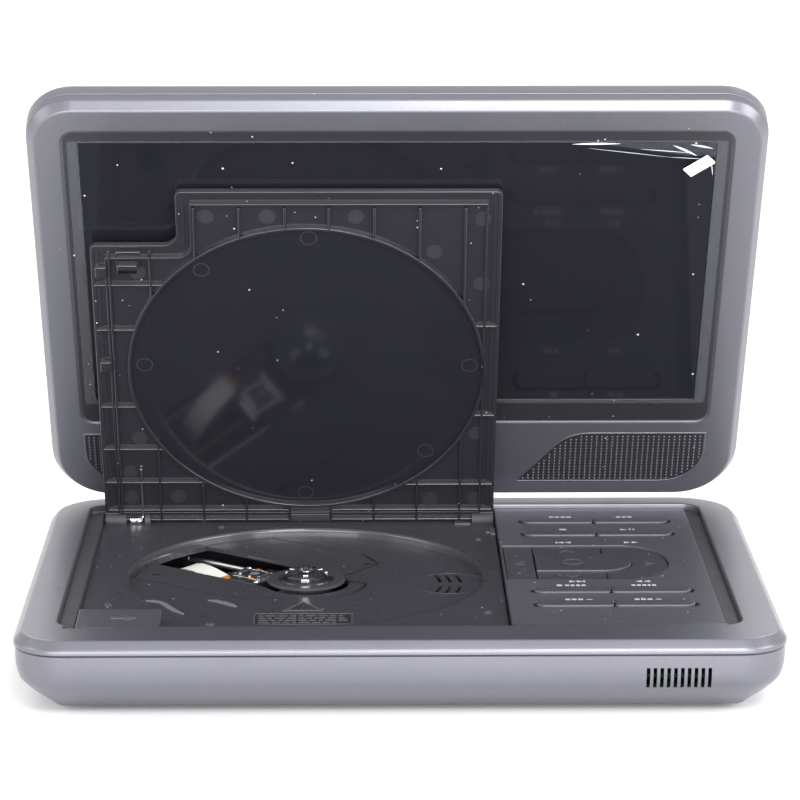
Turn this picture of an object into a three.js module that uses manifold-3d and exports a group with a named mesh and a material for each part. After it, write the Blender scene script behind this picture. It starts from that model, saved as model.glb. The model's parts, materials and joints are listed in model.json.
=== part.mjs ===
// A clamshell portable disc player: a base with keys and a disc loader under a sprung door,
// and a screen lid on a turning centre hinge. Millimetres, +Z up, +X to the user's right.
// Everything is first laid out with z = 0 on the base's rim and the origin at the rim's centre.
import * as THREE from "three";
import { mergeVertices } from "three/addons/utils/BufferGeometryUtils.js";
import Module from "manifold-3d";

const wasm = await Module();
wasm.setup();

// ---------------------------------------------------------------- driving dimensions
const GAP = 0.3; // left between pieces that touch
const WALL = 2; // casing wall

const RIM = { x: 125.6, y: 92.5, front: 14, back: 20, out: 2.8, drop: 3 }; // ridge, then the bevel round it
const PARTING_Z = -4.6; // joint between the top and bottom casings
const CASE = { floor: -26.5, slopeTop: -13.5, slopeIn: 14 };
const FOOT = { r: 6, drop: 1.4, x: 92, y: 62 };

const OPENING = { x: 114.2, front: -76.1, back: 82.4, r: 7 }; // in the rim's top face
const PANEL_Z = -1.5; // key panel surface
const VENT = { count: 3, x: 12.5, pitch: 3.6, y: 2.4, long: 10.5, wide: 1.3, bow: 2.2 };
const LEDGE = { wide: 2.4, thick: 1.4, z: -2.3 }; // flange that holds a panel under the rim
const CHANNEL = { x: 109, z: -2.1 }; // sunk strip along both sides of the panel
const SPLIT_X = 37.2; // between the disc side and the key side
const DECK_Z = -5; // surface under the door
const WELL = { x: -32.4, y: 4.1, r: 62.5, floor: -8 };

const SLOT_ANGLE = THREE.MathUtils.degToRad(142.65); // pickup travel, seen from above
const SLOT = { near: 8, far: 57.5, low: -13, high: 16.5 }; // along and across that travel
const SPINDLE_HOLE = 15.4;
const PICKUP_HOME = 25;
const SOCKET_Z = -8.3;
const ROUND_SOCKETS = { power_inlet: [40, 2.6], headphone_socket: [24, 2.3], av_socket: [9, 2.3] };
const BUS_SOCKET = { y0: -19.6, y1: -5.4, z0: -11.1, z1: -5.5 };
const CARD_SOCKET = { y0: -53, y1: -25, z0: -11.2, z1: -6.6 };
const SWITCH = { y0: 18, y1: 30.6, z0: -10.6, z1: -6.2, knob: 6 };

const DOOR = { left: -108.2, right: 36.8, front: -75.7, back: 76.6, top: -0.8, skin: 1.7, rib: 1.5 };
const DOOR_AXIS = { y: 74.75, z: -3.9 };
const DOOR_OPEN = 64;
const BED_BACK = 79; // back wall of the sunk bed that the door lies in
const NOTCH = { x: -77.6, y: -52.6, r: 5 };
const BUTTON = { left: -108.4, right: -80.4, front: -75.8, back: -53.1, travel: 2.2 };

const LID = { gap: 0.5, thick: 14, split: 6, out: 2.7, drop: 3.4 };
const LID_AXIS = { y: 92.71, z: 5.08 };
const LID_OPEN = 59.23;
const WINDOW = { x: 110.5, low: 47.7, high: 171 }; // measured up from the hinge-side ridge
const GLASS_SUNK = 1.1;
const BARREL = { r: 4.1, half: 15, shaft: 1.6 };
const TURNTABLE = { y: 87.3, r: 6.6, z: -0.2, thick: 2.2, stem: 3 };
const CATCH = { x: [-109, 105.5], half: 3.2, deep: 2.4, z: -1.2 }; // lid latch notches in the rim
const CASE_SLOTS = { count: 10, x: 80.6, pitch: 2.25, wide: 1.2, z0: -16.6, z1: -9.3 };
const DOOR_HOOK = { x0: -98.3, x1: -91.7, y: -44.6, thick: 2, beak: 3.6, z: -9.4 };
const DOOR_RIBS = [-71.3, -55.4, -39.4, -23.9, -8, 8, 24];
const RODS = [-11.5, 14.5]; // pickup guide rods, across the travel
const ROD_Z = -13.4;
const COLUMNS = 200; // half width of the blocks that keep or cut a band of height

// ---------------------------------------------------------------- solids
const solidOf = (geometry) => {
  const bare = geometry.clone();
  for (const name of Object.keys(bare.attributes)) {
    if (name !== "position") bare.deleteAttribute(name);
  }
  const merged = mergeVertices(bare, 1e-4);
  return new wasm.Manifold(
    new wasm.Mesh({
      numProp: 3,
      vertProperties: merged.attributes.position.array,
      triVerts: new Uint32Array(merged.index.array),
    }),
  );
};

const geometryOf = (solid) => {
  const mesh = solid.getMesh();
  const geometry = new THREE.BufferGeometry();
  geometry.setAttribute("position", new THREE.BufferAttribute(mesh.vertProperties, 3));
  geometry.setIndex(new THREE.BufferAttribute(mesh.triVerts, 1));
  return geometry;
};

const box = (x0, x1, y0, y1, z0, z1) => {
  const geometry = new THREE.BoxGeometry(x1 - x0, y1 - y0, z1 - z0);
  return solidOf(geometry.translate((x0 + x1) / 2, (y0 + y1) / 2, (z0 + z1) / 2));
};

// A cylinder along X, Y or Z between two values of that coordinate.
const rod = (along, from, to, r, at, sides = 16) => {
  const geometry = new THREE.CylinderGeometry(r, r, to - from, sides);
  const middle = (from + to) / 2;
  if (along === "x") geometry.rotateZ(Math.PI / 2).translate(middle, at[0], at[1]);
  if (along === "y") geometry.translate(at[0], middle, at[1]);
  if (along === "z") geometry.rotateX(Math.PI / 2).translate(at[0], at[1], middle);
  return solidOf(geometry);
};

// A rectangle with rounded corners; r is one radius, or [front left, front right, back right, back left].
const rounded = (x0, x1, y0, y1, r) => {
  const [a, b, c, d] = Array.isArray(r) ? r : [r, r, r, r];
  const shape = new THREE.Shape();
  shape.moveTo(x0 + a, y0);
  shape.lineTo(x1 - b, y0);
  if (b > 0) shape.absarc(x1 - b, y0 + b, b, -Math.PI / 2, 0);
  shape.lineTo(x1, y1 - c);
  if (c > 0) shape.absarc(x1 - c, y1 - c, c, 0, Math.PI / 2);
  shape.lineTo(x0 + d, y1);
  if (d > 0) shape.absarc(x0 + d, y1 - d, d, Math.PI / 2, Math.PI);
  shape.lineTo(x0, y0 + a);
  if (a > 0) shape.absarc(x0 + a, y0 + a, a, Math.PI, 1.5 * Math.PI);
  return shape;
};

const outline = (points) => new THREE.Shape(points.map(([x, y]) => new THREE.Vector2(x, y)));

const prism = (shape, z0, z1, curveSegments = 5) => {
  const settings = { depth: z1 - z0, bevelEnabled: false, curveSegments };
  return solidOf(new THREE.ExtrudeGeometry(shape, settings).translate(0, 0, z0));
};

// The plan outline shared by base and lid, grown outwards from the ridge.
const plan = (grow) => {
  const [a, b] = [RIM.front + grow, RIM.back + grow];
  return rounded(-RIM.x - grow, RIM.x + grow, -RIM.y - grow, RIM.y + grow, [a, a, b, b]);
};

// A prism whose two ends taper in by "inset" over "height"; it is cut to one taper afterwards.
const tapered = (shape, z0, z1, inset, height, curveSegments = 5) => {
  const settings = {
    depth: z1 - z0 - 2 * height,
    bevelEnabled: true,
    bevelSegments: 1,
    bevelThickness: height,
    bevelSize: inset,
    bevelOffset: 0,
    curveSegments,
  };
  return solidOf(new THREE.ExtrudeGeometry(shape, settings).translate(0, 0, z0 + height));
};

const turned = (profile, at, segments = 24) => {
  const points = profile.map(([r, z]) => new THREE.Vector2(r, z));
  const geometry = new THREE.LatheGeometry(points, segments).rotateX(Math.PI / 2);
  return solidOf(geometry.translate(at[0], at[1], 0));
};

// The part of a solid between two heights.
const band = (solid, z0, z1) => solid.intersect(box(-COLUMNS, COLUMNS, -COLUMNS, COLUMNS, z0, z1));
const joinAll = (solids) => solids.reduce((a, b) => a.add(b));
const cutAll = (solid, tools) => tools.reduce((a, b) => a.subtract(b), solid);

// ---------------------------------------------------------------- materials
const paint = (color, roughness, metalness = 0) =>
  new THREE.MeshStandardMaterial({ color, roughness, metalness });
const MAT = {
  casing: paint(0x6d6c72, 0.42),
  trim: paint(0x5a595f, 0.38),
  deck: paint(0x2b2a30, 0.55),
  key: paint(0x2d2c33, 0.5),
  gloss: paint(0x0c0c10, 0.06),
  metal: paint(0xb9bbc0, 0.3, 1),
  brass: paint(0xb08d3c, 0.35, 1),
  black: paint(0x17171a, 0.6),
  board: paint(0x1d5a35, 0.6),
  rubber: paint(0x141416, 0.85),
  ribbon: paint(0xe8e6e0, 0.5),
  lens: paint(0x7d8fb0, 0.05, 0.3),
};

const root = new THREE.Group();
const put = (group, name, solid, material, pivot = [0, 0, 0]) => {
  const mesh = new THREE.Mesh(geometryOf(solid), material);
  mesh.geometry.translate(-pivot[0], -pivot[1], -pivot[2]);
  mesh.name = name;
  group.add(mesh);
};

// Points along and across the pickup's travel, measured from the spindle.
const travel = (along, across) => [
  WELL.x + along * Math.cos(SLOT_ANGLE) + across * Math.sin(SLOT_ANGLE),
  WELL.y + along * Math.sin(SLOT_ANGLE) - across * Math.cos(SLOT_ANGLE),
];
const travelBox = (along0, along1, across0, across1, z0, z1) =>
  prism(
    outline([
      travel(along0, across1),
      travel(along1, across1),
      travel(along1, across0),
      travel(along0, across0),
    ]),
    z0,
    z1,
  );
const travelRod = (along0, along1, across, z, r, sides = 12) => {
  const geometry = new THREE.CylinderGeometry(r, r, along1 - along0, sides).rotateZ(-Math.PI / 2);
  geometry.rotateZ(SLOT_ANGLE);
  const [x, y] = travel((along0 + along1) / 2, across);
  return solidOf(geometry.translate(x, y, z));
};

// ---------------------------------------------------------------- base casings
function bottomCase() {
  const half = { x: RIM.x + RIM.out - 0.5, y: RIM.y + RIM.out - 0.5 };
  const body = (inset, floor, top) => {
    const x = half.x - inset - CASE.slopeIn;
    const y = half.y - inset - CASE.slopeIn;
    const shape = rounded(-x, x, -y, y, [3, 3, 8, 8]);
    const solid = tapered(shape, floor, 30, CASE.slopeIn, CASE.slopeTop - CASE.floor);
    return band(solid, floor, top);
  };
  const shell = body(0, CASE.floor, PARTING_Z - GAP).subtract(body(WALL, CASE.floor + WALL, 0));
  const front = -half.y;
  const slots = [...Array(CASE_SLOTS.count).keys()].map((i) => {
    const x = CASE_SLOTS.x + i * CASE_SLOTS.pitch;
    return box(x, x + CASE_SLOTS.wide, front - 1, front + 6, CASE_SLOTS.z0, CASE_SLOTS.z1);
  });
  const side = half.x;
  const [inside, beyond] = [side - 6, side + 4];
  const ports = Object.values(ROUND_SOCKETS).map(([y, r]) => rod("x", inside, beyond, r, [y, SOCKET_Z]));
  const { y0, y1, z0, z1 } = BUS_SOCKET;
  const bus = box(inside, beyond, y0 + 1, y1 - 1, z0 + 0.8, z1 - 0.8);
  const card = box(inside, beyond, CARD_SOCKET.y0 + 2, CARD_SOCKET.y1 - 2, -9.8, -7.6);
  const switchWindow = box(-side - 4, -side + 6, SWITCH.y0, SWITCH.y1, SWITCH.z0, SWITCH.z1);
  return cutAll(shell, [...slots, ...ports, bus, card, switchWindow]);
}

function topCase() {
  const outer = tapered(plan(0), -20, 0, RIM.out, RIM.drop, 6);
  const opening = rounded(-OPENING.x, OPENING.x, OPENING.front, OPENING.back, OPENING.r);
  const catches = CATCH.x.map((x) =>
    box(x - CATCH.half, x + CATCH.half, OPENING.front - CATCH.deep, OPENING.front + 1, CATCH.z, 1),
  );
  return cutAll(band(outer, PARTING_Z, 1), [
    prism(plan(RIM.out - WALL), -30, -WALL),
    prism(opening, -30, 1),
    rod("z", -30, 1, TURNTABLE.r + GAP, [0, TURNTABLE.y], 24),
    ...catches,
  ]);
}

// A plate that fills its side of the opening, with a ledge under the rim all round.
function openingPlate(x0, x1, corners, bottom) {
  const [y0, y1] = [OPENING.front + GAP, OPENING.back - GAP];
  const [left, right] = [x0 < 0 ? LEDGE.wide : 0, x1 > SPLIT_X ? LEDGE.wide : 0];
  const plate = prism(rounded(x0, x1, y0, y1, corners), bottom, PANEL_Z);
  const [front, back] = [y0 - LEDGE.wide, y1 + LEDGE.wide];
  return plate.add(box(x0 - left, x1 + right, front, back, LEDGE.z - LEDGE.thick, LEDGE.z));
}

// The outline of the loader's cover, which fills a cut-out in the floor of the disc well.
function coverOutline(grow) {
  const arc = [...Array(6).keys()].map((i) => {
    const angle = THREE.MathUtils.degToRad(-66 + 13 * i);
    return [WELL.x + 21.3 * Math.cos(angle), WELL.y + 21.3 * Math.sin(angle)];
  });
  const points = [
    [-104, 18.5],
    [-60.2, -14.2],
    [-58.4, -15],
    [-25.5, -15.2],
    ...arc,
    [-17.6, 6.1],
    [-19.6, 11.1],
    [-14.8, 18.1],
    [-6.7, 28.1],
    [-12.4, 41.5],
    [-64, 76],
    [-104, 76],
  ];
  const shape = prism(outline(points), WELL.floor - 5, WELL.floor + 5);
  const middle = [WELL.x - 20, WELL.y + 14];
  const scale = 1 + grow / 40;
  const sized = shape
    .translate([-middle[0], -middle[1], 0])
    .scale([scale, scale, 1])
    .translate([middle[0], middle[1], 0]);
  return sized.intersect(rod("z", -20, 0, WELL.r - 0.9 + grow, [WELL.x, WELL.y], 48));
}

function deckTray() {
  const x0 = -OPENING.x + GAP;
  const x1 = SPLIT_X - 0.2;
  const plate = openingPlate(x0, x1, [OPENING.r, 0, 0, OPENING.r], DECK_Z - WALL);
  const dish = rod("z", WELL.floor - WALL, DECK_Z - 1, WELL.r + WALL, [WELL.x, WELL.y], 48);
  const hingeBlock = box(x0 + 4, x1, 68.5, OPENING.back - GAP, DECK_Z - 4.2, DECK_Z - 1);
  const body = joinAll([plate, dish, hingeBlock]);
  const doorBed = prism(rounded(DOOR.left - 0.7, 60, -90, BED_BACK, 0), DECK_Z, 3);
  const channel = box(-130, -CHANNEL.x, -90, 90, CHANNEL.z, 3);
  const hingeBed = box(DOOR.left - 0.7, 60, 71, BED_BACK, DECK_Z - 2.4, 3);
  const hookSlot = box(-99.4, -90.6, -50.2, -42, -30, 3);
  const turntable = rod("z", -30, 3, TURNTABLE.r + GAP, [0, TURNTABLE.y], 24);
  const vents = [...Array(VENT.count).keys()].flatMap((i) =>
    [1, -1].map((side) => {
      const x = VENT.x + VENT.pitch * i;
      const [near, far] = [VENT.y + side * 1.5, VENT.y + side * (1.5 + VENT.long)];
      const edge = (shift) => [
        [x + shift + VENT.bow, near],
        [x + shift + 0.7 * VENT.bow, (near + far) / 2],
        [x + shift, far],
      ];
      return prism(outline([...edge(0), ...edge(VENT.wide).reverse()]), -30, 3);
    }),
  );
  return cutAll(body, [
    doorBed,
    channel,
    hingeBed,
    rod("z", WELL.floor, 3, WELL.r, [WELL.x, WELL.y], 48),
    band(coverOutline(0.5), -14, WELL.floor + 1),
    hookSlot,
    turntable,
    ...vents,
  ]);
}

function mechanismCover() {
  const plate = band(coverOutline(0), WELL.floor - 1.5, WELL.floor - 0.1);
  return cutAll(plate, [
    travelBox(SLOT.near, SLOT.far, SLOT.low, SLOT.high, -20, 0),
    rod("z", -20, 0, SPINDLE_HOLE, [WELL.x, WELL.y], 32),
  ]);
}

// ---------------------------------------------------------------- keys
const KEY = { foot: -4, fit: 0.3, ends: [46.7, 101.1], split: 73.4, depth: 6.4 };
const KEY_TOP = { row: PANEL_Z + 0.6, pad: PANEL_Z - 0.5, ok: PANEL_Z + 0.2 };
const KEY_ROWS = { source_setup: 59.7, stop_play: 42, pair_card: -32.8, volume: -49.5 };
const PAD = { left: 38.4, back: 28.8, front: -14.9, end: 96.2, nose: 16 };
const OK_KEY = { left: 49.1, split: 73.4, right: 83.3, front: -4.3, back: 17.4 };
const BETWEEN = 0.4; // between neighbouring pad keys

const pill = (x0, x1, y0, y1, roundLeft, roundRight) => {
  const r = (y1 - y0) / 2 - 0.01;
  const [left, right] = [roundLeft ? r : 0, roundRight ? r : 0];
  return rounded(x0, x1, y0, y1, [left, right, right, left]);
};
// A pad outline: square at the left, elliptical at the right.
const padEnd = (x0, x1, y0, y1) => {
  const shape = new THREE.Shape();
  const middle = (y0 + y1) / 2;
  shape.moveTo(x0, y0);
  shape.lineTo(x1 - PAD.nose, y0);
  shape.absellipse(x1 - PAD.nose, middle, PAD.nose, (y1 - y0) / 2, -Math.PI / 2, Math.PI / 2);
  shape.lineTo(x0, y1);
  return shape;
};
const okOutline = (grow) => {
  const { left, right, front, back } = OK_KEY;
  return pill(left - grow, right + grow, front - grow, back + grow, false, true);
};

// Each key's solid, by node name.
function keySolids() {
  const keys = {};
  for (const [row, front] of Object.entries(KEY_ROWS)) {
    const names = row === "volume" ? ["volume_down", "volume_up"] : row.split("_");
    const back = front + KEY.depth;
    const left = pill(KEY.ends[0], KEY.split - BETWEEN / 2, front, back, true, false);
    const right = pill(KEY.split + BETWEEN / 2, KEY.ends[1], front, back, false, true);
    keys[`key_${names[0]}`] = prism(left, KEY.foot, KEY_TOP.row);
    keys[`key_${names[1]}`] = prism(right, KEY.foot, KEY_TOP.row);
  }
  keys.key_ok = prism(okOutline(0), KEY.foot, KEY_TOP.ok);
  const { left, split, front, back } = OK_KEY;
  keys.key_up = prism(rounded(left, split, back + BETWEEN, PAD.back, 0), KEY.foot, KEY_TOP.pad);
  keys.key_down = prism(rounded(left, split, PAD.front, front - BETWEEN, 0), KEY.foot, KEY_TOP.pad);
  keys.key_left = prism(rounded(PAD.left, left - BETWEEN, PAD.front, PAD.back, 0), KEY.foot, KEY_TOP.pad);
  const end = prism(padEnd(split + BETWEEN, PAD.end, PAD.front, PAD.back), KEY.foot, KEY_TOP.pad);
  keys.key_right = end.subtract(prism(okOutline(BETWEEN), -20, 3));
  return keys;
}

function keyPanel() {
  const x0 = SPLIT_X + 0.2;
  const x1 = OPENING.x - GAP;
  const y0 = OPENING.front + GAP;
  const y1 = OPENING.back - GAP;
  const plate = openingPlate(x0, x1, [0, OPENING.r, OPENING.r, 0], DECK_Z - 0.2);
  const strip = prism(rounded(x0, x1 + 1, y0, y1, [0, 7, 13, 0]), CHANNEL.z, 3);
  const channel = strip.subtract(box(0, CHANNEL.x, -90, 90, -10, 10));
  const underside = box(x0 + WALL, CHANNEL.x - WALL, y0 + WALL, y1 - WALL, -30, PANEL_Z - WALL);
  const [left, right] = [KEY.ends[0] - KEY.fit, KEY.ends[1] + KEY.fit];
  const rows = Object.values(KEY_ROWS).map((front) =>
    prism(pill(left, right, front - KEY.fit, front + KEY.depth + KEY.fit, true, true), -30, 3),
  );
  const pad = prism(
    padEnd(PAD.left - KEY.fit, PAD.end + KEY.fit, PAD.front - KEY.fit, PAD.back + KEY.fit),
    -30,
    3,
  );
  return cutAll(plate, [channel, underside, ...rows, pad]);
}

// ---------------------------------------------------------------- disc door, laid out shut
function doorOutline(inset) {
  const { left, right, front, back } = DOOR;
  const shape = new THREE.Shape();
  shape.moveTo(right - inset, front + inset);
  shape.lineTo(right - inset, back - inset);
  shape.lineTo(left + inset, back - inset);
  shape.lineTo(left + inset, NOTCH.y + inset);
  shape.lineTo(NOTCH.x - NOTCH.r + inset, NOTCH.y + inset);
  shape.absarc(NOTCH.x - NOTCH.r + inset, NOTCH.y - NOTCH.r + inset, NOTCH.r, Math.PI / 2, 0, true);
  shape.lineTo(NOTCH.x + inset, front + inset);
  return shape;
}

function discDoor() {
  const inner = DOOR.top - DOOR.skin;
  const tips = inner - DOOR.rib;
  const skin = prism(doorOutline(0), inner, DOOR.top);
  const rimInside = prism(doorOutline(2.6), tips - 1, inner + 1);
  const rim = prism(doorOutline(1.2), tips, inner + 0.2).subtract(rimInside);
  const ring = rod("z", tips, inner + 0.2, 65, [WELL.x, WELL.y], 48).subtract(
    rod("z", tips - 1, inner + 1, 63.8, [WELL.x, WELL.y], 48),
  );
  const ribs = DOOR_RIBS.flatMap((x) => {
    const reach = Math.sqrt(Math.max(0, 64.4 ** 2 - (x - WELL.x) ** 2));
    return [
      box(x - 0.5, x + 0.5, DOOR.front + 2, WELL.y - reach, tips, inner + 0.2),
      box(x - 0.5, x + 0.5, WELL.y + reach, 70, tips, inner + 0.2),
    ];
  });
  const knuckles = [
    [DOOR.left, DOOR.left + 6],
    [DOOR.right - 6, DOOR.right],
  ].map(([a, b]) => rod("x", a, b, 2.7, [DOOR_AXIS.y, DOOR_AXIS.z], 16));
  const webs = [
    [DOOR.left, DOOR.left + 6],
    [DOOR.right - 6, DOOR.right],
  ].map(([a, b]) => box(a, b, DOOR_AXIS.y - 2.7, DOOR_AXIS.y + 2, DOOR_AXIS.z, inner + 0.2));
  const { x0, x1, y, thick, beak, z } = DOOR_HOOK;
  const hook = joinAll([
    box(x0, x1, y - thick, y, z, inner + 0.2),
    box(x0, x1, y - beak, y, z, z + 1.4),
  ]);
  const pinBore = rod("x", -150, 150, 1.9, [DOOR_AXIS.y, DOOR_AXIS.z], 16);
  const body = joinAll([skin, rim, ring, ...ribs, ...knuckles, ...webs, hook]);
  return body.subtract(pinBore);
}

function doorSpring() {
  const [y, z] = [DOOR_AXIS.y, DOOR_AXIS.z];
  const coil = rod("x", -99.6, -94.2, 1.5, [y, z], 12);
  return coil.add(box(-94.8, -94.2, y - 24, y, z - 0.3, z + 0.3));
}

// ---------------------------------------------------------------- lid, laid out shut
const lidY = (v) => RIM.y - v; // from the hinge-side ridge towards the free edge

function hingeNotch(grow) {
  return box(-BARREL.half - 1.5 - grow, BARREL.half + 1.5 + grow, 80.5, 120, -5, 40);
}

function lidFrontFrame() {
  const low = LID.gap;
  const outer = tapered(plan(0), low, 60, LID.out, LID.drop, 6);
  const slab = band(outer, low, low + LID.split);
  const hollow = prism(plan(LID.out - WALL), low + WALL, 60);
  const recess = prism(rounded(-116, 116, lidY(176), lidY(37), 5), -5, low + 0.6);
  const opening = box(-WINDOW.x, WINDOW.x, lidY(WINDOW.high), lidY(WINDOW.low), -5, 60);
  const shaftBosses = [-1, 1].map((s) =>
    box(
      Math.min(s * 17, s * 24),
      Math.max(s * 17, s * 24),
      LID_AXIS.y - 7,
      RIM.y + 0.4,
      low + WALL - 0.2,
      LID_AXIS.z + 0.9,
    ),
  );
  const bores = rod("x", -60, 60, BARREL.shaft + GAP, [LID_AXIS.y, LID_AXIS.z], 16);
  return cutAll(slab, [hollow, recess, opening])
    .add(joinAll(shaftBosses))
    .subtract(hingeNotch(0))
    .subtract(bores);
}

function lidBackShell() {
  const low = LID.gap + LID.split + GAP;
  const top = LID.gap + LID.thick;
  const outer = tapered(plan(LID.out - 3), -20, top, 3, 3, 6);
  const inner = prism(plan(LID.out - WALL - 1), -20, top - WALL);
  const slab = band(outer.subtract(inner), low, top + 1);
  const cut = hingeNotch(0);
  const cheeks = [-1, 1].map((s) =>
    box(Math.min(s * 16.5, s * 18.5), Math.max(s * 16.5, s * 18.5), 78.5, RIM.y, low, top - 1),
  );
  const back = box(-18.5, 18.5, 78.5, 80.5, low, top - 1);
  return slab.add(joinAll([...cheeks, back])).subtract(cut);
}

function hingeBracket() {
  const discTop = TURNTABLE.z;
  const disc = rod("z", discTop - TURNTABLE.thick, discTop, TURNTABLE.r, [0, TURNTABLE.y], 24);
  const stem = rod("z", -11, discTop - 1, TURNTABLE.stem, [0, TURNTABLE.y], 16);
  const foot = box(-4, 4, TURNTABLE.y - 4, TURNTABLE.y + 4, discTop - 1, 1.5);
  const neck = box(-6, 6, TURNTABLE.y - 4, LID_AXIS.y + 1, GAP, LID_AXIS.z);
  const barrel = rod("x", -BARREL.half, BARREL.half, BARREL.r, [LID_AXIS.y, LID_AXIS.z], 20);
  const bore = rod("x", -60, 60, BARREL.shaft + GAP, [LID_AXIS.y, LID_AXIS.z], 16);
  return joinAll([disc, stem, foot, neck, barrel]).subtract(bore);
}

// ---------------------------------------------------------------- assembly
const base = new THREE.Group();
root.add(base);
put(base, "bottom_case", bottomCase(), MAT.casing);
put(base, "top_case", topCase(), MAT.casing);
put(base, "deck_tray", deckTray(), MAT.deck);
put(base, "mechanism_cover", mechanismCover(), MAT.deck);
put(base, "key_panel", keyPanel(), MAT.deck);
for (const [name, solid] of Object.entries(keySolids())) {
  put(base, name, solid, MAT.key);
}
put(base, "key_mat", box(44, 104, -60, 70, -6.4, -5.4), MAT.rubber);
put(base, "key_board", box(42, 106, -62, 72, -8.4, -6.8), MAT.board);

const button = joinAll([
  box(BUTTON.left, BUTTON.right, BUTTON.front, BUTTON.back, DECK_Z + GAP, DOOR.top),
  box(BUTTON.left + 2, BUTTON.right - 3, BUTTON.back - 1, BUTTON.back + 2.4, DECK_Z + GAP, DECK_Z + 0.9),
]);
put(base, "open_button", button, MAT.deck);

for (const [name, x, y] of [
  ["foot_front_left", -FOOT.x, -FOOT.y],
  ["foot_front_right", FOOT.x, -FOOT.y],
  ["foot_back_left", -FOOT.x, FOOT.y],
  ["foot_back_right", FOOT.x, FOOT.y],
]) {
  put(base, name, rod("z", CASE.floor - FOOT.drop, CASE.floor - GAP, FOOT.r, [x, y], 16), MAT.rubber);
}

// loader under the well
const hubProfile = [
  [0, -17.4],
  [1.4, -17.4],
  [1.4, -9.8],
  [13.9, -9.8],
  [13.9, -6.4],
  [12.6, -6],
  [8.6, -6.2],
  [7.4, -6.2],
  [7.2, -4],
  [4.6, -3],
  [2, -3.4],
  [0, -2.9],
];
put(base, "spindle_hub", turned(hubProfile, [WELL.x, WELL.y]), MAT.black);
const motor = rod("z", -19.6, -12.4, 11, [WELL.x, WELL.y], 20);
const motorBore = rod("z", -18, -10, 1.4 + GAP, [WELL.x, WELL.y], 12);
put(base, "spindle_motor", motor.subtract(motorBore), MAT.metal);
const chassisPlate = travelBox(-16, 70, -20, 24, -22, -20);
const chassisLegs = [
  [-14, -18],
  [-14, 20],
  [60, -18],
  [60, 20],
].map(([a, c]) => travelBox(a - 2, a + 2, c - 2, c + 2, -24.2, -21));
put(base, "loader_chassis", joinAll([chassisPlate, ...chassisLegs]), MAT.black);
for (const [name, across] of [
  ["guide_rod_front", RODS[0]],
  ["guide_rod_back", RODS[1]],
]) {
  const half = 1.2;
  const clips = [14.5, 67].map((along) =>
    travelBox(along - half, along + half, across - half, across + half, -19.7, ROD_Z + 1),
  );
  put(base, name, travelRod(13, 68.5, across, ROD_Z, 1, 10).add(joinAll(clips)), MAT.metal);
}
const sledRods = RODS.map((across) => travelRod(0, 90, across, ROD_Z, 1 + GAP, 10));
const sled = joinAll([
  travelBox(PICKUP_HOME - 7, PICKUP_HOME + 10, -7, 10, -15.2, -10.6),
  travelBox(PICKUP_HOME - 5, PICKUP_HOME + 5, -13.6, 16.6, -15.2, -11.7),
]);
const lensAt = travel(PICKUP_HOME, 1);
put(base, "pickup_sled", cutAll(sled, [...sledRods, rod("z", -12, -9, 3.9, lensAt, 16)]), MAT.black);
put(base, "pickup_lens", rod("z", -11.7, -9.9, 3.6, lensAt, 16), MAT.lens);
put(base, "lead_screw", travelRod(16, 60, 5, -17.4, 1.1, 10), MAT.brass);
put(base, "sled_motor", travelBox(60.6, 68, 0.5, 9.5, -19.7, -15.6), MAT.metal);

// The cable arches from the sled's outer end down to the chassis.
const [ribbonX, ribbonY] = travel(PICKUP_HOME + 10.5, -5);
const ribbonPath = new THREE.CatmullRomCurve3(
  [
    [0, -13],
    [6, -10.6],
    [15, -9.9],
    [23, -12],
    [27, -19.5],
  ].map(([along, z]) => new THREE.Vector3(along * Math.cos(SLOT_ANGLE), along * Math.sin(SLOT_ANGLE), z)),
);
const ribbonSection = outline([
  [-0.12, -4.5],
  [0.12, -4.5],
  [0.12, 4.5],
  [-0.12, 4.5],
]);
const ribbon = new THREE.ExtrudeGeometry(ribbonSection, { steps: 10, extrudePath: ribbonPath });
put(base, "flat_cable", solidOf(ribbon.translate(ribbonX, ribbonY, 0)), MAT.ribbon);

// boards, battery and sockets
put(base, "battery_pack", box(-72, 34, -77, -40, -24, -12), MAT.black);
put(base, "main_board", box(44, 112, -78, 40, -18, -16.4), MAT.board);
const sideX = RIM.x + RIM.out - 0.5 - WALL - GAP;
for (const [name, [y, r]] of Object.entries(ROUND_SOCKETS)) {
  const half = 2.9;
  const shell = box(sideX - 11, sideX, y - half, y + half, SOCKET_Z - half, SOCKET_Z + half);
  put(base, name, shell.subtract(rod("x", sideX - 9, sideX + 2, r - 0.4, [y, SOCKET_Z], 12)), MAT.black);
}
const cavity = (at, deep, side, top) =>
  box(sideX - deep, sideX + 2, at.y0 + side, at.y1 - side, at.z0 + top, at.z1 - top);
const bus = box(sideX - 13, sideX, BUS_SOCKET.y0, BUS_SOCKET.y1, BUS_SOCKET.z0, BUS_SOCKET.z1);
put(base, "bus_socket", bus.subtract(cavity(BUS_SOCKET, 11, 1, 0.7)), MAT.metal);
const card = box(106.6, sideX, CARD_SOCKET.y0, CARD_SOCKET.y1, CARD_SOCKET.z0, CARD_SOCKET.z1);
put(base, "card_socket", card.subtract(cavity(CARD_SOCKET, 17, 2, 1)), MAT.metal);
const { y0: switchFront, z0: switchLow, z1: switchHigh } = SWITCH;
const [knobFront, knobBack] = [switchFront + GAP, switchFront + SWITCH.knob];
const knob = joinAll([
  box(-sideX - 2.8, -sideX + 0.9, knobFront, knobBack, switchLow + GAP, switchHigh - GAP),
  box(-sideX + 0.2, -sideX + 1.8, switchFront - 2, switchFront + 8, switchLow - 0.4, switchHigh + 0.4),
]);
put(base, "power_switch", knob, MAT.trim);

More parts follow.
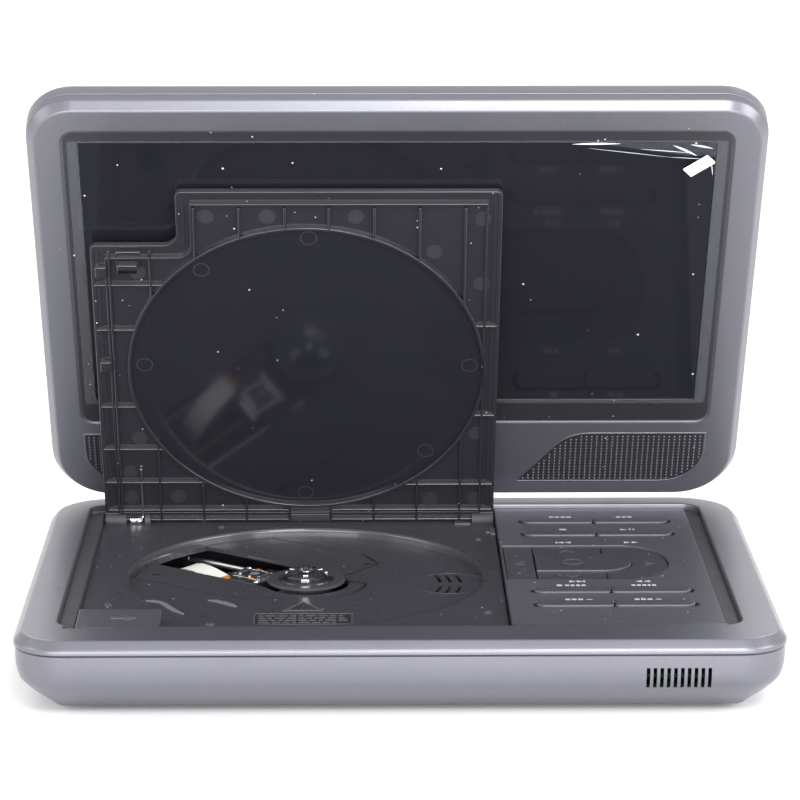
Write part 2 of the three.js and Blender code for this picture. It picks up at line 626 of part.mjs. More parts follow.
// disc door, turned up about its hinge
const door = new THREE.Group();
door.position.set(0, DOOR_AXIS.y, DOOR_AXIS.z);
door.rotation.x = -THREE.MathUtils.degToRad(DOOR_OPEN);
root.add(door);
const doorPivot = [0, DOOR_AXIS.y, DOOR_AXIS.z];
put(door, "disc_door", discDoor(), MAT.deck, doorPivot);
put(door, "door_spring", doorSpring(), MAT.metal, doorPivot);
for (const [name, x0, x1] of [
  ["door_pin_left", DOOR.left - 0.4, DOOR.left + 8],
  ["door_pin_right", DOOR.right - 8, DOOR.right + 0.1],
]) {
  put(base, name, rod("x", x0, x1, 1.5, [DOOR_AXIS.y, DOOR_AXIS.z], 12), MAT.metal);
}

// centre hinge
put(base, "hinge_bracket", hingeBracket(), MAT.casing);
const washer = rod("z", -10.4, -9.2, 5.2, [0, TURNTABLE.y], 20);
const washerBore = rod("z", -20, 0, TURNTABLE.stem + GAP, [0, TURNTABLE.y], 16);
put(base, "hinge_washer", washer.subtract(washerBore), MAT.metal);
put(base, "hinge_shaft", rod("x", -23, 23, BARREL.shaft, [LID_AXIS.y, LID_AXIS.z], 12), MAT.metal);

// lid, turned up about the shaft
const lid = new THREE.Group();
lid.position.set(0, LID_AXIS.y, LID_AXIS.z);
lid.rotation.x = -THREE.MathUtils.degToRad(LID_OPEN);
root.add(lid);
const lidPivot = [0, LID_AXIS.y, LID_AXIS.z];
const glassLow = LID.gap + GLASS_SUNK;
const addToLid = (name, solid, material) => put(lid, name, solid, material, lidPivot);
addToLid("lid_front_frame", lidFrontFrame(), MAT.casing);
addToLid("lid_back_shell", lidBackShell(), MAT.casing);
const glassX = WINDOW.x - GAP;
const [glassFront, glassBack] = [lidY(WINDOW.high) + GAP, lidY(WINDOW.low) - GAP];
addToLid(
  "screen_glass",
  box(-glassX, glassX, glassFront, glassBack, glassLow, glassLow + 1.2),
  MAT.gloss,
);
addToLid("screen_panel", box(-117, 117, lidY(178), lidY(42), glassLow + 1.5, glassLow + 5.5), MAT.metal);
addToLid("screen_board", box(-70, 70, lidY(160), lidY(90), glassLow + 7, glassLow + 8.6), MAT.board);
for (const [name, side] of [
  ["speaker_left", -1],
  ["speaker_right", 1],
]) {
  const cone = rod("z", LID.gap + 3.2, LID.gap + 5, 13, [side * 84, lidY(19)], 20);
  const magnet = rod("z", LID.gap + 4.8, LID.gap + 10, 8, [side * 84, lidY(19)], 20);
  addToLid(name, cone.add(magnet), MAT.black);
}

// The finished group stands on its feet with the origin at the middle of its footprint.
const extent = new THREE.Box3().setFromObject(root, true);
const centre = extent.getCenter(new THREE.Vector3());
root.position.set(-centre.x, -centre.y, -extent.min.z);

export default root;
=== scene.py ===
# A clamshell portable disc player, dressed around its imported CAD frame. Lengths in the layout are
# millimetres from the middle of the base's rim, with the lid and the disc door laid out shut; each
# placement matrix then takes them to the open pose, in metres.
import json
from math import atan2, cos, pi, radians, sin, sqrt

import bmesh
import bpy
from mathutils import Matrix, Vector


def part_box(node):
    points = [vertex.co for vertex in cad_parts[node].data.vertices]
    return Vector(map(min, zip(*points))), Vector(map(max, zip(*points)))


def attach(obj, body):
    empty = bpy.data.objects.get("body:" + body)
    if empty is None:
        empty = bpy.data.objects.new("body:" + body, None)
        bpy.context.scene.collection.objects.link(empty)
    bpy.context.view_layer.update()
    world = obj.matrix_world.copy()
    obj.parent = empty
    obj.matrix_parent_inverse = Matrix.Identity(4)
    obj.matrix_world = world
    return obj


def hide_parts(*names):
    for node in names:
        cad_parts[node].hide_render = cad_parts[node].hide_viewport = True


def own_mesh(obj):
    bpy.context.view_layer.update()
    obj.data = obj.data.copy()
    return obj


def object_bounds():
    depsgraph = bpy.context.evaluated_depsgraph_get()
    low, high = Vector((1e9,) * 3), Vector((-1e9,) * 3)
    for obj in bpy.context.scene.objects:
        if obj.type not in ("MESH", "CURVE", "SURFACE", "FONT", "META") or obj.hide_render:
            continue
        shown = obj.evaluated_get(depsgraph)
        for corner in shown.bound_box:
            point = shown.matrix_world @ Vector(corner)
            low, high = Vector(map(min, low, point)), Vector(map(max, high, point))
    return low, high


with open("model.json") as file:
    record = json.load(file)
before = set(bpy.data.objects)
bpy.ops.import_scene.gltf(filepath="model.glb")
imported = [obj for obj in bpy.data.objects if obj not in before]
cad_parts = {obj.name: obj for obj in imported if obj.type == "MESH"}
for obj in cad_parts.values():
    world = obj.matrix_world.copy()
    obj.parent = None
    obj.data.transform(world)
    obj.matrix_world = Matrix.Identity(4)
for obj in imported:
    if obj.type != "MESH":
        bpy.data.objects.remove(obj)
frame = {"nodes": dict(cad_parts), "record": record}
cad_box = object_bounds()

MM = 0.001
JOINTS = {joint["name"]: joint for joint in frame["record"]["behaviour"]["joints"]}

# ---- the layout's frame
rim_low, rim_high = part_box("top_case")
ORIGIN = Vector(((rim_low.x + rim_high.x) / 2, (rim_low.y + rim_high.y) / 2, rim_high.z))
IN_BASE = Matrix.Translation(ORIGIN) @ Matrix.Scale(MM, 4)


def turned_up(joint_name):
    """Takes a shut layout to the open rest pose, about that joint's axis."""
    joint = JOINTS[joint_name]
    pivot = Vector(joint["pos_m"])
    opening = -radians(joint["range_deg"][0])
    turn = Matrix.Rotation(opening, 4, Vector(joint["axis"]))
    return Matrix.Translation(pivot) @ turn @ Matrix.Translation(-pivot) @ IN_BASE


IN_DOOR = turned_up("disc_door_hinge")
IN_LID = turned_up("lid_fold_shut")

RIM = (125.6, 92.5)
PANEL_Z = -1.5
DECK_Z = -5.0
WELL = (-32.4, 4.1)
WELL_R = 62.5
WELL_FLOOR = -8.0
DOOR_LEFT, DOOR_RIGHT, DOOR_FRONT, DOOR_BACK = -108.2, 36.8, -75.7, 76.6
DOOR_TOP, DOOR_SKIN, DOOR_RIBS = -0.8, -2.5, -4.0
DOOR_HINGE = (74.75, -3.9)
NOTCH_X, NOTCH_Y = -77.6, -52.6
DISC_RING = 64.0
LID_FACE = 0.5
SCREEN_X, SCREEN_LOW, SCREEN_HIGH = 110.5, 47.7, 171.0

# ---- camera
CAMERA_AT = (-15.8, -1188.4, 333.2)
CAMERA_YAW = radians(0.801)
CAMERA_PITCH = radians(12.974)
CAMERA_ROLL = radians(0.057)
CAMERA_LENS = 156.87


def placed(name, data):
    """A new object in the scene."""
    made = bpy.data.objects.new(name, data)
    bpy.context.scene.collection.objects.link(made)
    return made


def make_camera():
    data = bpy.data.cameras.new("camera")
    data.sensor_width = 36.0
    data.lens = CAMERA_LENS
    data.clip_end = 20.0
    camera = placed("camera", data)
    level = Vector((sin(CAMERA_YAW), cos(CAMERA_YAW), 0))
    right = Vector((cos(CAMERA_YAW), -sin(CAMERA_YAW), 0))
    up = Vector((0, 0, 1))
    ahead = level * cos(CAMERA_PITCH) - up * sin(CAMERA_PITCH)
    above = up * cos(CAMERA_PITCH) + level * sin(CAMERA_PITCH)
    side = right * cos(CAMERA_ROLL) + above * sin(CAMERA_ROLL)
    top = above * cos(CAMERA_ROLL) - right * sin(CAMERA_ROLL)
    camera.matrix_world = Matrix.Translation(IN_BASE @ Vector(CAMERA_AT)) @ Matrix(
        (side, top, -ahead)
    ).transposed().to_4x4()
    bpy.context.scene.camera = camera


make_camera()


# ---- materials
LOOK = {}


def node(tree, kind, **inputs):
    """A shader node with some of its inputs set."""
    made = tree.nodes.new("ShaderNode" + kind)
    for name, value in inputs.items():
        made.inputs[name.replace("_", " ")].default_value = value
    return made


def principled(name, color, roughness, metallic=0.0, coat=0.0, coat_roughness=0.1):
    """A plain material, kept in LOOK under its name."""
    material = bpy.data.materials.new(name)
    material.use_nodes = True
    shader = material.node_tree.nodes["Principled BSDF"]
    for socket, value in {
        "Base Color": (*color, 1), "Roughness": roughness, "Metallic": metallic,
        "Coat Weight": coat, "Coat Roughness": coat_roughness,
    }.items():
        shader.inputs[socket].default_value = value
    LOOK[name] = material
    return material.node_tree, shader


def map_range(tree, value, low, high, to_low, to_high):
    """The output of a Map Range node, fed by value."""
    made = node(tree, "MapRange", From_Min=low, From_Max=high, To_Min=to_low, To_Max=to_high)
    tree.links.new(value, made.inputs["Value"])
    return made.outputs["Result"]


GRAIN_DEPTH = 0.0001
SPECK_REACH = 0.15
DUST_COLOR = (0.5, 0.5, 0.5, 1)


def plastic(
    name, color, roughness, grain=900.0, bump=0.08, vary=0.12, dust=0.0, fleck=0.0, dust_size=420.0, **more
):
    """Moulded or painted plastic: fine grain, uneven gloss, and a few pale specks of dust."""
    tree, shader = principled(name, color, roughness, **more)
    link = tree.links.new
    place = node(tree, "TexCoord").outputs["Object"]

    fine = node(tree, "TexNoise", Scale=grain, Detail=3.0)
    link(place, fine.inputs["Vector"])
    raised = node(tree, "Bump", Strength=bump, Distance=GRAIN_DEPTH)
    link(fine.outputs["Fac"], raised.inputs["Height"])
    link(raised.outputs["Normal"], shader.inputs["Normal"])

    broad = node(tree, "TexNoise", Scale=28.0, Detail=5.0, Roughness=0.65)
    link(place, broad.inputs["Vector"])
    gloss = map_range(tree, broad.outputs["Fac"], 0.3, 0.7, roughness * (1 - vary), roughness * (1 + vary))
    link(gloss, shader.inputs["Roughness"])

    tint = node(tree, "Mix")
    tint.data_type = "RGBA"
    tint.inputs["A"].default_value = (*[c * (1 - fleck) for c in color], 1)
    tint.inputs["B"].default_value = (*[min(1, c * (1 + fleck)) for c in color], 1)
    link(fine.outputs["Fac"], tint.inputs["Factor"])
    shade = tint.outputs["Result"]
    if dust:
        cells = node(tree, "TexVoronoi", Scale=dust_size)
        link(place, cells.inputs["Vector"])
        chosen = node(tree, "SeparateColor")
        link(cells.outputs["Color"], chosen.inputs["Color"])
        size = map_range(tree, chosen.outputs["Red"], 1 - dust, 1.0, 0.0, SPECK_REACH)
        speck = node(tree, "Math")
        speck.operation = "LESS_THAN"
        link(cells.outputs["Distance"], speck.inputs[0])
        link(size, speck.inputs[1])
        dusty = node(tree, "Mix")
        dusty.data_type = "RGBA"
        dusty.inputs["B"].default_value = DUST_COLOR
        link(shade, dusty.inputs["A"])
        link(speck.outputs["Value"], dusty.inputs["Factor"])
        shade = dusty.outputs["Result"]
    link(shade, shader.inputs["Base Color"])


SCUFF_DEPTH = 0.00005


def metal(name, color, roughness):
    """Bare or plated metal with fine scuffs."""
    tree, shader = principled(name, color, roughness, metallic=1.0)
    place = node(tree, "TexCoord").outputs["Object"]
    scuff = node(tree, "TexNoise", Scale=400.0, Detail=4.0)
    tree.links.new(place, scuff.inputs["Vector"])
    raised = node(tree, "Bump", Strength=0.1, Distance=SCUFF_DEPTH)
    tree.links.new(scuff.outputs["Fac"], raised.inputs["Height"])
    tree.links.new(raised.outputs["Normal"], shader.inputs["Normal"])


def clear(name, strength):
    """Thin clear film: mostly see-through, with a soft gloss."""
    shader = principled(name, (0.55, 0.6, 0.66), 0.12)[1]
    shader.inputs["Alpha"].default_value = strength


plastic("casing", (0.165, 0.165, 0.19), 0.34, grain=700, bump=0.025, fleck=0.06, dust=0.03,
        metallic=0.72, coat=0.15, coat_roughness=0.2)
# A lighter plastic for the grille's dots: a painted highlight against the dark field.
plastic("trim", (0.12, 0.12, 0.135), 0.22, bump=0.06, dust=0.02)
plastic("deck", (0.042, 0.041, 0.05), 0.28, grain=500, bump=0.02, dust=0.12)
plastic("panel", (0.064, 0.063, 0.076), 0.24, grain=500, bump=0.02, dust=0.12)
plastic("door", (0.016, 0.016, 0.021), 0.22, bump=0.05, dust=0.1, coat=0.6, coat_roughness=0.12)
plastic("door_disc", (0.011, 0.011, 0.016), 0.13, grain=300, bump=0.02, vary=0.3, dust=0.04,
           coat=0.3, coat_roughness=0.06)
plastic("key", (0.055, 0.054, 0.066), 0.26, grain=500, bump=0.02, dust=0.04)
plastic("screen", (0.01, 0.01, 0.014), 0.06, grain=120, bump=0.004, vary=0.25, dust=0.1,
        dust_size=330.0)
metal("metal", (0.62, 0.62, 0.64), 0.28)
metal("brass", (0.62, 0.44, 0.18), 0.3)
plastic("black", (0.012, 0.012, 0.014), 0.45, bump=0.15)
plastic("board", (0.02, 0.09, 0.045), 0.4, bump=0.05)
plastic("rubber", (0.015, 0.015, 0.016), 0.8, bump=0.3)
plastic("ribbon", (0.78, 0.77, 0.72), 0.4, bump=0.02)
plastic("amber", (0.5, 0.22, 0.03), 0.35, bump=0.02)
plastic("print", (0.45, 0.45, 0.47), 0.5, bump=0.02)
plastic("strip", (0.032, 0.032, 0.038), 0.6, bump=0.1)
plastic("recess", (0.016, 0.016, 0.019), 0.5, bump=0.3, grain=1200)
# A lighter copy of the deck plastic for raised reliefs: a painted highlight on their tops.
plastic("raised", (0.075, 0.075, 0.085), 0.3, bump=0.04)
# A lighter, glossier copy of the deck plastic: a painted highlight on the back part of the well's wall.
plastic("well_edge", (0.05, 0.05, 0.055), 0.16, bump=0.03, coat=0.6, coat_roughness=0.08)
plastic("gloss", (0.014, 0.014, 0.017), 0.2, bump=0.02, coat=0.15, coat_roughness=0.1)
plastic("table", (0.045, 0.045, 0.05), 0.36, bump=0.08)
metal("bright", (0.85, 0.85, 0.86), 0.16)
metal("copper", (0.72, 0.36, 0.2), 0.3)
plastic("paper", (0.85, 0.85, 0.85), 0.5, bump=0.05)
clear("film", 0.025)
clear("film_edge", 0.03)
# A pale plastic for the painted highlights on the film's creases.
plastic("glint", (0.6, 0.62, 0.66), 0.25, bump=0.3, grain=300)
plastic("surround", (0.018, 0.018, 0.022), 0.3, dust=0.15)
plastic("mark", (0.026, 0.026, 0.032), 0.3)
# A pale plastic for the painted highlights on the finger scoops' lips.
plastic("scoop", (0.15, 0.15, 0.165), 0.25)
principled("lens", (0.1, 0.13, 0.22), 0.03, coat=1.0, coat_roughness=0.02)
# A near-black plastic for painted shadow lines.
plastic("dark", (0.004, 0.004, 0.005), 0.7, bump=0.05)

# ---- building
SHARP = radians(32)
SEWN = 2e-6


def add_mesh(name, mesh, placement, look, body, round_to=0.0, segments=2):
    """Places a millimetre mesh, rounds its edges and hangs it on a body."""
    mesh.transform(placement)
    mesh.materials.clear()
    mesh.materials.append(LOOK[look])
    mesh.shade_smooth()
    mesh.set_sharp_from_angle(angle=SHARP)
    piece = placed(name, mesh)
    if round_to:
        bevel = piece.modifiers.new("rounding", "BEVEL")
        bevel.width = round_to * MM
        bevel.segments = segments
        bevel.limit_method = "ANGLE"
        bevel.angle_limit = SHARP
        bevel.harden_normals = True
    weighted = piece.modifiers.new("flat_faces", "WEIGHTED_NORMAL")
    weighted.keep_sharp = True
    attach(piece, body)
    return piece


def adder(placement, body, slot):
    """add_mesh for one placement and body; the slot arguments are not used."""

    def add(name, mesh, look, round_to=0.0, slot=slot):
        return add_mesh(name, mesh, placement, look, body, round_to)

    return add


on_base = adder(IN_BASE, "base", "deck")
on_spindle = adder(IN_BASE, "spindle", "black")
on_door = adder(IN_DOOR, "door", "deck")
on_lid = adder(IN_LID, "lid", "casing")


def edited(mesh, change):
    """The same mesh after change(bm)."""
    bm = bmesh.new()
    bm.from_mesh(mesh)
    change(bm)
    bm.to_mesh(mesh)
    bm.free()
    return mesh


def mesh_of(name, build):
    """A mesh made by build(bm)."""
    bm = bmesh.new()
    build(bm)
    bmesh.ops.recalc_face_normals(bm, faces=bm.faces)
    mesh = bpy.data.meshes.new(name)
    bm.to_mesh(mesh)
    bm.free()
    return mesh


def softened(node_name, look, body, round_to=0.2, segments=2):
    """A CAD node with its edges rounded, standing for that node."""
    source = frame["nodes"][node_name]
    bm = bmesh.new()
    bm.from_mesh(source.data)
    bmesh.ops.remove_doubles(bm, verts=bm.verts, dist=SEWN)
    bmesh.ops.dissolve_limit(bm, angle_limit=radians(1), verts=bm.verts, edges=bm.edges)
    mesh = bpy.data.meshes.new(node_name + "_soft")
    bm.to_mesh(mesh)
    bm.free()
    piece = add_mesh(node_name + "_soft", mesh, Matrix.Identity(4), look, body, round_to, segments)
    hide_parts(node_name)
    return piece


def bars(boxes):
    """One mesh of many boxes, each (x0, x1, y0, y1, z0, z1)."""

    def build(bm):
        for x0, x1, y0, y1, z0, z1 in boxes:
            at = Matrix.Translation(((x0 + x1) / 2, (y0 + y1) / 2, (z0 + z1) / 2))
            size = Matrix.Diagonal((x1 - x0, y1 - y0, z1 - z0, 1))
            bmesh.ops.create_cube(bm, size=1, matrix=at @ size)

    return mesh_of("bars", build)


def arc(cx, cy, r, start, end, steps):
    """Points on an arc, angles in degrees."""
    angles = [radians(start + (end - start) * i / steps) for i in range(steps + 1)]
    return [(cx + r * cos(a), cy + r * sin(a)) for a in angles]


def circle(cx, cy, r, steps=48):
    return arc(cx, cy, r, 0, 360 * (1 - 1 / steps), steps - 1)


def rounded(x0, x1, y0, y1, r, steps=6):
    """A rectangle's outline with rounded corners; r is one radius or four, from the front left round."""
    a, b, c, d = r if isinstance(r, (list, tuple)) else (r,) * 4
    return (
        arc(x0 + a, y0 + a, a, 180, 270, steps)
        + arc(x1 - b, y0 + b, b, 270, 360, steps)
        + arc(x1 - c, y1 - c, c, 0, 90, steps)
        + arc(x0 + d, y1 - d, d, 90, 180, steps)
    )


def curve_mesh(curve, paths, cyclic):
    """The mesh of a curve through straight-line paths; the curve itself is removed."""
    for path in paths:
        spline = curve.splines.new("POLY")
        spline.points.add(len(path) - 1)
        for point, at in zip(spline.points, path):
            point.co = (*at, 1)
        spline.use_cyclic_u = cyclic
    holder = placed("holder", curve)
    graph = bpy.context.evaluated_depsgraph_get()
    mesh = bpy.data.meshes.new_from_object(holder.evaluated_get(graph))
    bpy.data.objects.remove(holder)
    bpy.data.curves.remove(curve)
    return mesh


def plate(loops, z0, z1, edge=0.0, steps=2):
    """A flat plate between two heights: the first loop is its outline, the others are holes."""
    curve = bpy.data.curves.new("outline", "CURVE")
    curve.dimensions = "2D"
    curve.fill_mode = "BOTH"
    curve.extrude = (z1 - z0) / 2 - edge
    curve.bevel_depth = edge
    curve.bevel_resolution = steps
    curve.offset = -edge
    mesh = curve_mesh(curve, [[(x, y, 0) for x, y in loop] for loop in loops], True)

    def mend(bm):
        bmesh.ops.remove_doubles(bm, verts=bm.verts, dist=1e-3)
        bmesh.ops.recalc_face_normals(bm, faces=bm.faces)

    edited(mesh, mend)
    mesh.transform(Matrix.Translation((0, 0, (z0 + z1) / 2)))
    return mesh


def lathe(profile, cx=0.0, cy=0.0, steps=48, lift=0.0):
    """A mesh turned about Z from (radius, height above lift) pairs."""

    def build(bm):
        rings = []
        for r, z in profile:
            if r == 0:
                rings.append([bm.verts.new((cx, cy, lift + z))] * steps)
            else:
                rings.append([bm.verts.new((x, y, lift + z)) for x, y in circle(cx, cy, r, steps)])
        for low, high in zip(rings, rings[1:]):
            for i in range(steps):
                corners = [low[i], low[(i + 1) % steps], high[(i + 1) % steps], high[i]]
                unique = list(dict.fromkeys(corners))
                if len(unique) > 2:
                    bm.faces.new(unique)

    return mesh_of("lathe", build)


def tube(points, r):
    """A round wire through points, its ends closed."""
    curve = bpy.data.curves.new("wire", "CURVE")
    curve.dimensions = "3D"
    curve.bevel_depth = r
    curve.bevel_resolution = 2
    curve.use_fill_caps = True
    return curve_mesh(curve, [points], False)


def joined(meshes):
    """One mesh of several."""
    bm = bmesh.new()
    for mesh in meshes:
        bm.from_mesh(mesh)
    out = bpy.data.meshes.new("joined")
    bm.to_mesh(out)
    bm.free()
    return out


def plan(grow, z):
    """A ring at height z: the plan outline shared by base and lid, grown outwards from its ridge."""
    x, y = RIM[0] + grow, RIM[1] + grow
    front, back = max(CORNER_FRONT + grow, 0.5), max(CORNER_BACK + grow, 0.5)
    return [(px, py, z) for px, py in rounded(-x, x, -y, y, (front, front, back, back), CORNER_STEPS)]


def panel_ring(x0, x1, y0, y1, r, z):
    """A ring at height z with as many points as plan()."""
    return [(px, py, z) for px, py in rounded(x0, x1, y0, y1, r, CORNER_STEPS)]


def lofted(rings):
    """A skin over rings of equal length, the last ring sewn to the first."""

    def build(bm):
        made = [[bm.verts.new(point) for point in ring] for ring in rings]
        count = len(rings[0])
        for low, high in zip(made, made[1:] + made[:1]):
            for i in range(count):
                j = (i + 1) % count
                bm.faces.new((low[i], low[j], high[j], high[i]))

    return mesh_of("loft", build)


def carved(mesh, cutters, keep="DIFFERENCE"):
    """The mesh with closed cutter meshes taken out of it, or only what lies in them (INTERSECT)."""
    holder = placed("carved", mesh)
    tools = [placed("cutter", cutter) for cutter in cutters]
    for tool in tools:
        cut = holder.modifiers.new("cut", "BOOLEAN")
        cut.operation = keep
        cut.solver = "EXACT"
        cut.object = tool
    graph = bpy.context.evaluated_depsgraph_get()
    result = bpy.data.meshes.new_from_object(holder.evaluated_get(graph))
    for used in [holder, *tools]:
        bpy.data.objects.remove(used)
    return result


def rod(along, start, end, r, a, b, steps=24):
    """A closed cylinder along X or Z; a and b are its other two coordinates."""
    mesh = lathe([(0, start), (r, start), (r, end), (0, end)], 0, 0, steps)
    if along == "x":
        mesh.transform(Matrix.Translation((0, a, b)) @ Matrix(((0, 0, 1), (1, 0, 0), (0, 1, 0))).to_4x4())
    if along == "z":
        mesh.transform(Matrix.Translation((a, b, 0)))
    return mesh


# ---- base casings
CORNER_FRONT, CORNER_BACK = 14.0, 20.0
CORNER_STEPS = 10
OPEN_X, OPEN_FRONT, OPEN_BACK, OPEN_R = 114.2, -76.1, 82.4, 7.0
PARTING_Z = -4.6
WALL = 2.0
# How far the bottom casing grows from the ridge at each height, from the parting line down
BELLY = [(2.0, -4.9), (2.3, -5.2), (2.3, -8), (2.15, -11), (1.7, -13.4), (0.9, -15.6), (-0.8, -17.5),
         (-3.4, -19.8), (-6.6, -22.2), (-9.4, -24.2), (-11.0, -25.6), (-12.4, -26.3), (-14.0, -26.5)]
VENTS = {"first": 80.6, "pitch": 2.25, "wide": 1.2, "count": 10, "low": -16.6, "high": -9.3}
HINGE_WELL_Y, HINGE_WELL_R = 87.3, 6.9
LATCHES = (-109, 105.5)


def hinge_well():
    """Cuts the round hole that the swivel's turntable sits in."""
    return rod("z", -30, 3, HINGE_WELL_R, 0, HINGE_WELL_Y, 40)


def place_of(name):
    """The middle of a CAD node, in layout millimetres."""
    low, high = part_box(name)
    return IN_BASE.inverted() @ ((low + high) / 2)


def top_casing():
    """The rim, with the opening for the deck and the two latch notches."""

    def hole(grow, z):
        return panel_ring(-OPEN_X - grow, OPEN_X + grow, OPEN_FRONT - grow,
                          OPEN_BACK + grow, OPEN_R + grow, z)

    rings = [hole(0, -4.2), hole(0, -0.55), hole(0.12, -0.2), hole(0.45, -0.02), hole(0.8, 0)]
    rings += [plan(-0.5, 0), plan(0.05, -0.06), plan(0.45, -0.35), plan(2.2, -2.35), plan(2.6, -2.85),
              plan(2.8, -3.3), plan(2.8, -4.3), plan(2.55, PARTING_Z)]
    rings += [plan(0.8, PARTING_Z), plan(0.8, -2.2), hole(2.2, -2.2), hole(2.2, -4.2)]
    cutters = [hinge_well()]
    for x in LATCHES:
        front = OPEN_FRONT
        cutters.append(bars([(x - 3.2, x + 3.2, front - 2.4, front + 1.2, -1.2, 3)]))
    mesh = carved(lofted(rings), cutters)
    piece = on_base("top_casing", mesh, "casing", slot="casing")
    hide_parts("top_case")


def bottom_casing():
    rings = [plan(grow, z) for grow, z in BELLY]
    inside = [plan(grow - WALL, z + WALL) for grow, z in reversed(BELLY[1:])]
    inside.append(plan(BELLY[0][0] - WALL, BELLY[0][1]))
    mesh = lofted(rings + inside)
    starts = [VENTS["first"] + VENTS["pitch"] * i for i in range(VENTS["count"])]
    cutters = [bars([(x, x + VENTS["wide"], -96, -88, VENTS["low"], VENTS["high"]) for x in starts])]
    for name, r in (("power_inlet", 2.6), ("headphone_socket", 2.3), ("av_socket", 2.3)):
        at = place_of(name)
        cutters.append(rod("x", 120, 131, r, at.y, at.z))
    bus, card, knob = place_of("bus_socket"), place_of("card_socket"), place_of("power_switch")
    cutters.append(bars([(120, 131, bus.y - 6.1, bus.y + 6.1, bus.z - 2, bus.z + 2),
                         (120, 131, card.y - 12, card.y + 12, card.z - 0.9, card.z + 1.3),
                         (-131, -120, knob.y + 0.4 - 3.4, knob.y + 9.2, knob.z - 2.2, knob.z + 2.2)]))
    outer = carved(mesh, cutters)
    piece = on_base("bottom_casing", outer, "casing", slot="casing")
    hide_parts("bottom_case")
    underside = plate([[(x, y) for x, y, _ in plan(-13.9, 0)]], -26.5, -24.5)
    on_base("underside", underside, "casing", slot="casing")


def base_casings():
    top_casing()
    bottom_casing()
    for place in ("front_left", "front_right", "back_left", "back_right"):
        softened("foot_" + place, "rubber", "base", 0.3)
    softened("power_switch", "black", "power", 0.3)
    for name in ("power_inlet", "headphone_socket", "av_socket"):
        softened(name, "black", "base", 0.15)
    for name in ("bus_socket", "card_socket"):
        softened(name, "metal", "base", 0.1)


# ---- deck and disc well
DECK_BUMPS = [(30.3, 50.1), (30.2, -44.4), (-64.9, 68.4), (-99.9, -33.9), (-63.8, -57.9)]
# Painted highlights on the lips of the finger scoops, and painted shadow lines in the gaps round the loader's
# cover: x, y and half width
WELL_SCOOP_HIGHLIGHT = [(-66.4, -18.6, 0.3), (-64, -19.0, 1.0), (-60.5, -21.6, 1.2), (-57.6, -24.6, 1.0),
              (-56.4, -26.6, 0.4)]
DECK_SCOOP_HIGHLIGHT = [(-87.4, -29.2, 0.4), (-84.5, -29.6, 1.1), (-81.6, -31.8, 1.0), (-79.4, -36.2, 1.1),
              (-76.6, -41.6, 1.0), (-73.6, -45.4, 0.2)]
COVER_GAP_SHADOWS = [
    [(-23.3, -15.4, 0.1), (-17.4, -11.4, 0.35), (-13.9, -6.6, 0.4), (-11.9, -1.0, 0.4), (-11.6, 2.9, 0.4),
     (-17.5, 6.0, 0.4), (-19.5, 11.1, 0.4), (-14.6, 18.1, 0.45), (-6.5, 28.1, 0.5), (-8.6, 34, 0.3),
     (-12.2, 41.5, 0.1)],
    [(-59.6, -14.9, 0.12), (-40, -15.3, 0.12), (-25.3, -15.4, 0.12)],
    [(-92.6, 10.0, 0.2), (-60.2, -14.5, 0.14)],
]


def leaf(spine, z0, z1):
    """A thin raised lip along (x, y, half width) points, used for the painted highlights on the finger
    scoops' edges and the painted shadow lines in the gaps round the loader's cover.
    """
    sides = [[], []]
    for k, (x, y, half) in enumerate(spine):
        before, after = spine[max(k - 1, 0)], spine[min(k + 1, len(spine) - 1)]
        away = Vector((before[1] - after[1], after[0] - before[0])).normalized() * half
        sides[0].append((x + away.x, y + away.y))
        sides[1].append((x - away.x, y - away.y))
    return plate([sides[0] + sides[1][::-1]], z0, z1, 0.12)


BED_LEFT, BED_RIGHT, BED_FRONT, BED_BACK = -108.9, 37.0, -75.8, 79.0
LIP_R = WELL_R + 1.6
# Steps round the large circles
FINE, FINEST = 128, 160


def cad_mesh(name, placement):
    """A CAD node's mesh, sewn up, in a placement's millimetres."""
    mesh = frame["nodes"][name].data.copy()
    edited(mesh, lambda bm: bmesh.ops.remove_doubles(bm, verts=bm.verts, dist=SEWN))
    mesh.transform(placement.inverted())
    return mesh


def faces_of(mesh, chosen):
    """A copy of a mesh with only the faces whose centre is chosen."""

    def drop(bm):
        unwanted = [face for face in bm.faces if not chosen(face.calc_center_median())]
        bmesh.ops.delete(bm, geom=unwanted, context="FACES")

    return edited(mesh.copy(), drop)


def side_strip(side):
    """The sunk strip between a panel and the rim, its outer corners rounded."""
    inner, outer = 109.05, 114.1
    loop = rounded(60, outer, -75.9, 82.2, (0.1, 6.5, 12, 0.1), 8)
    mesh = carved(plate([loop], -2.2, -1.95), [bars([(50, inner, -90, 90, -5, 5)])])
    if side < 0:
        mesh.transform(Matrix.Scale(-1, 4, Vector((1, 0, 0))))
        mesh.flip_normals()
    return mesh


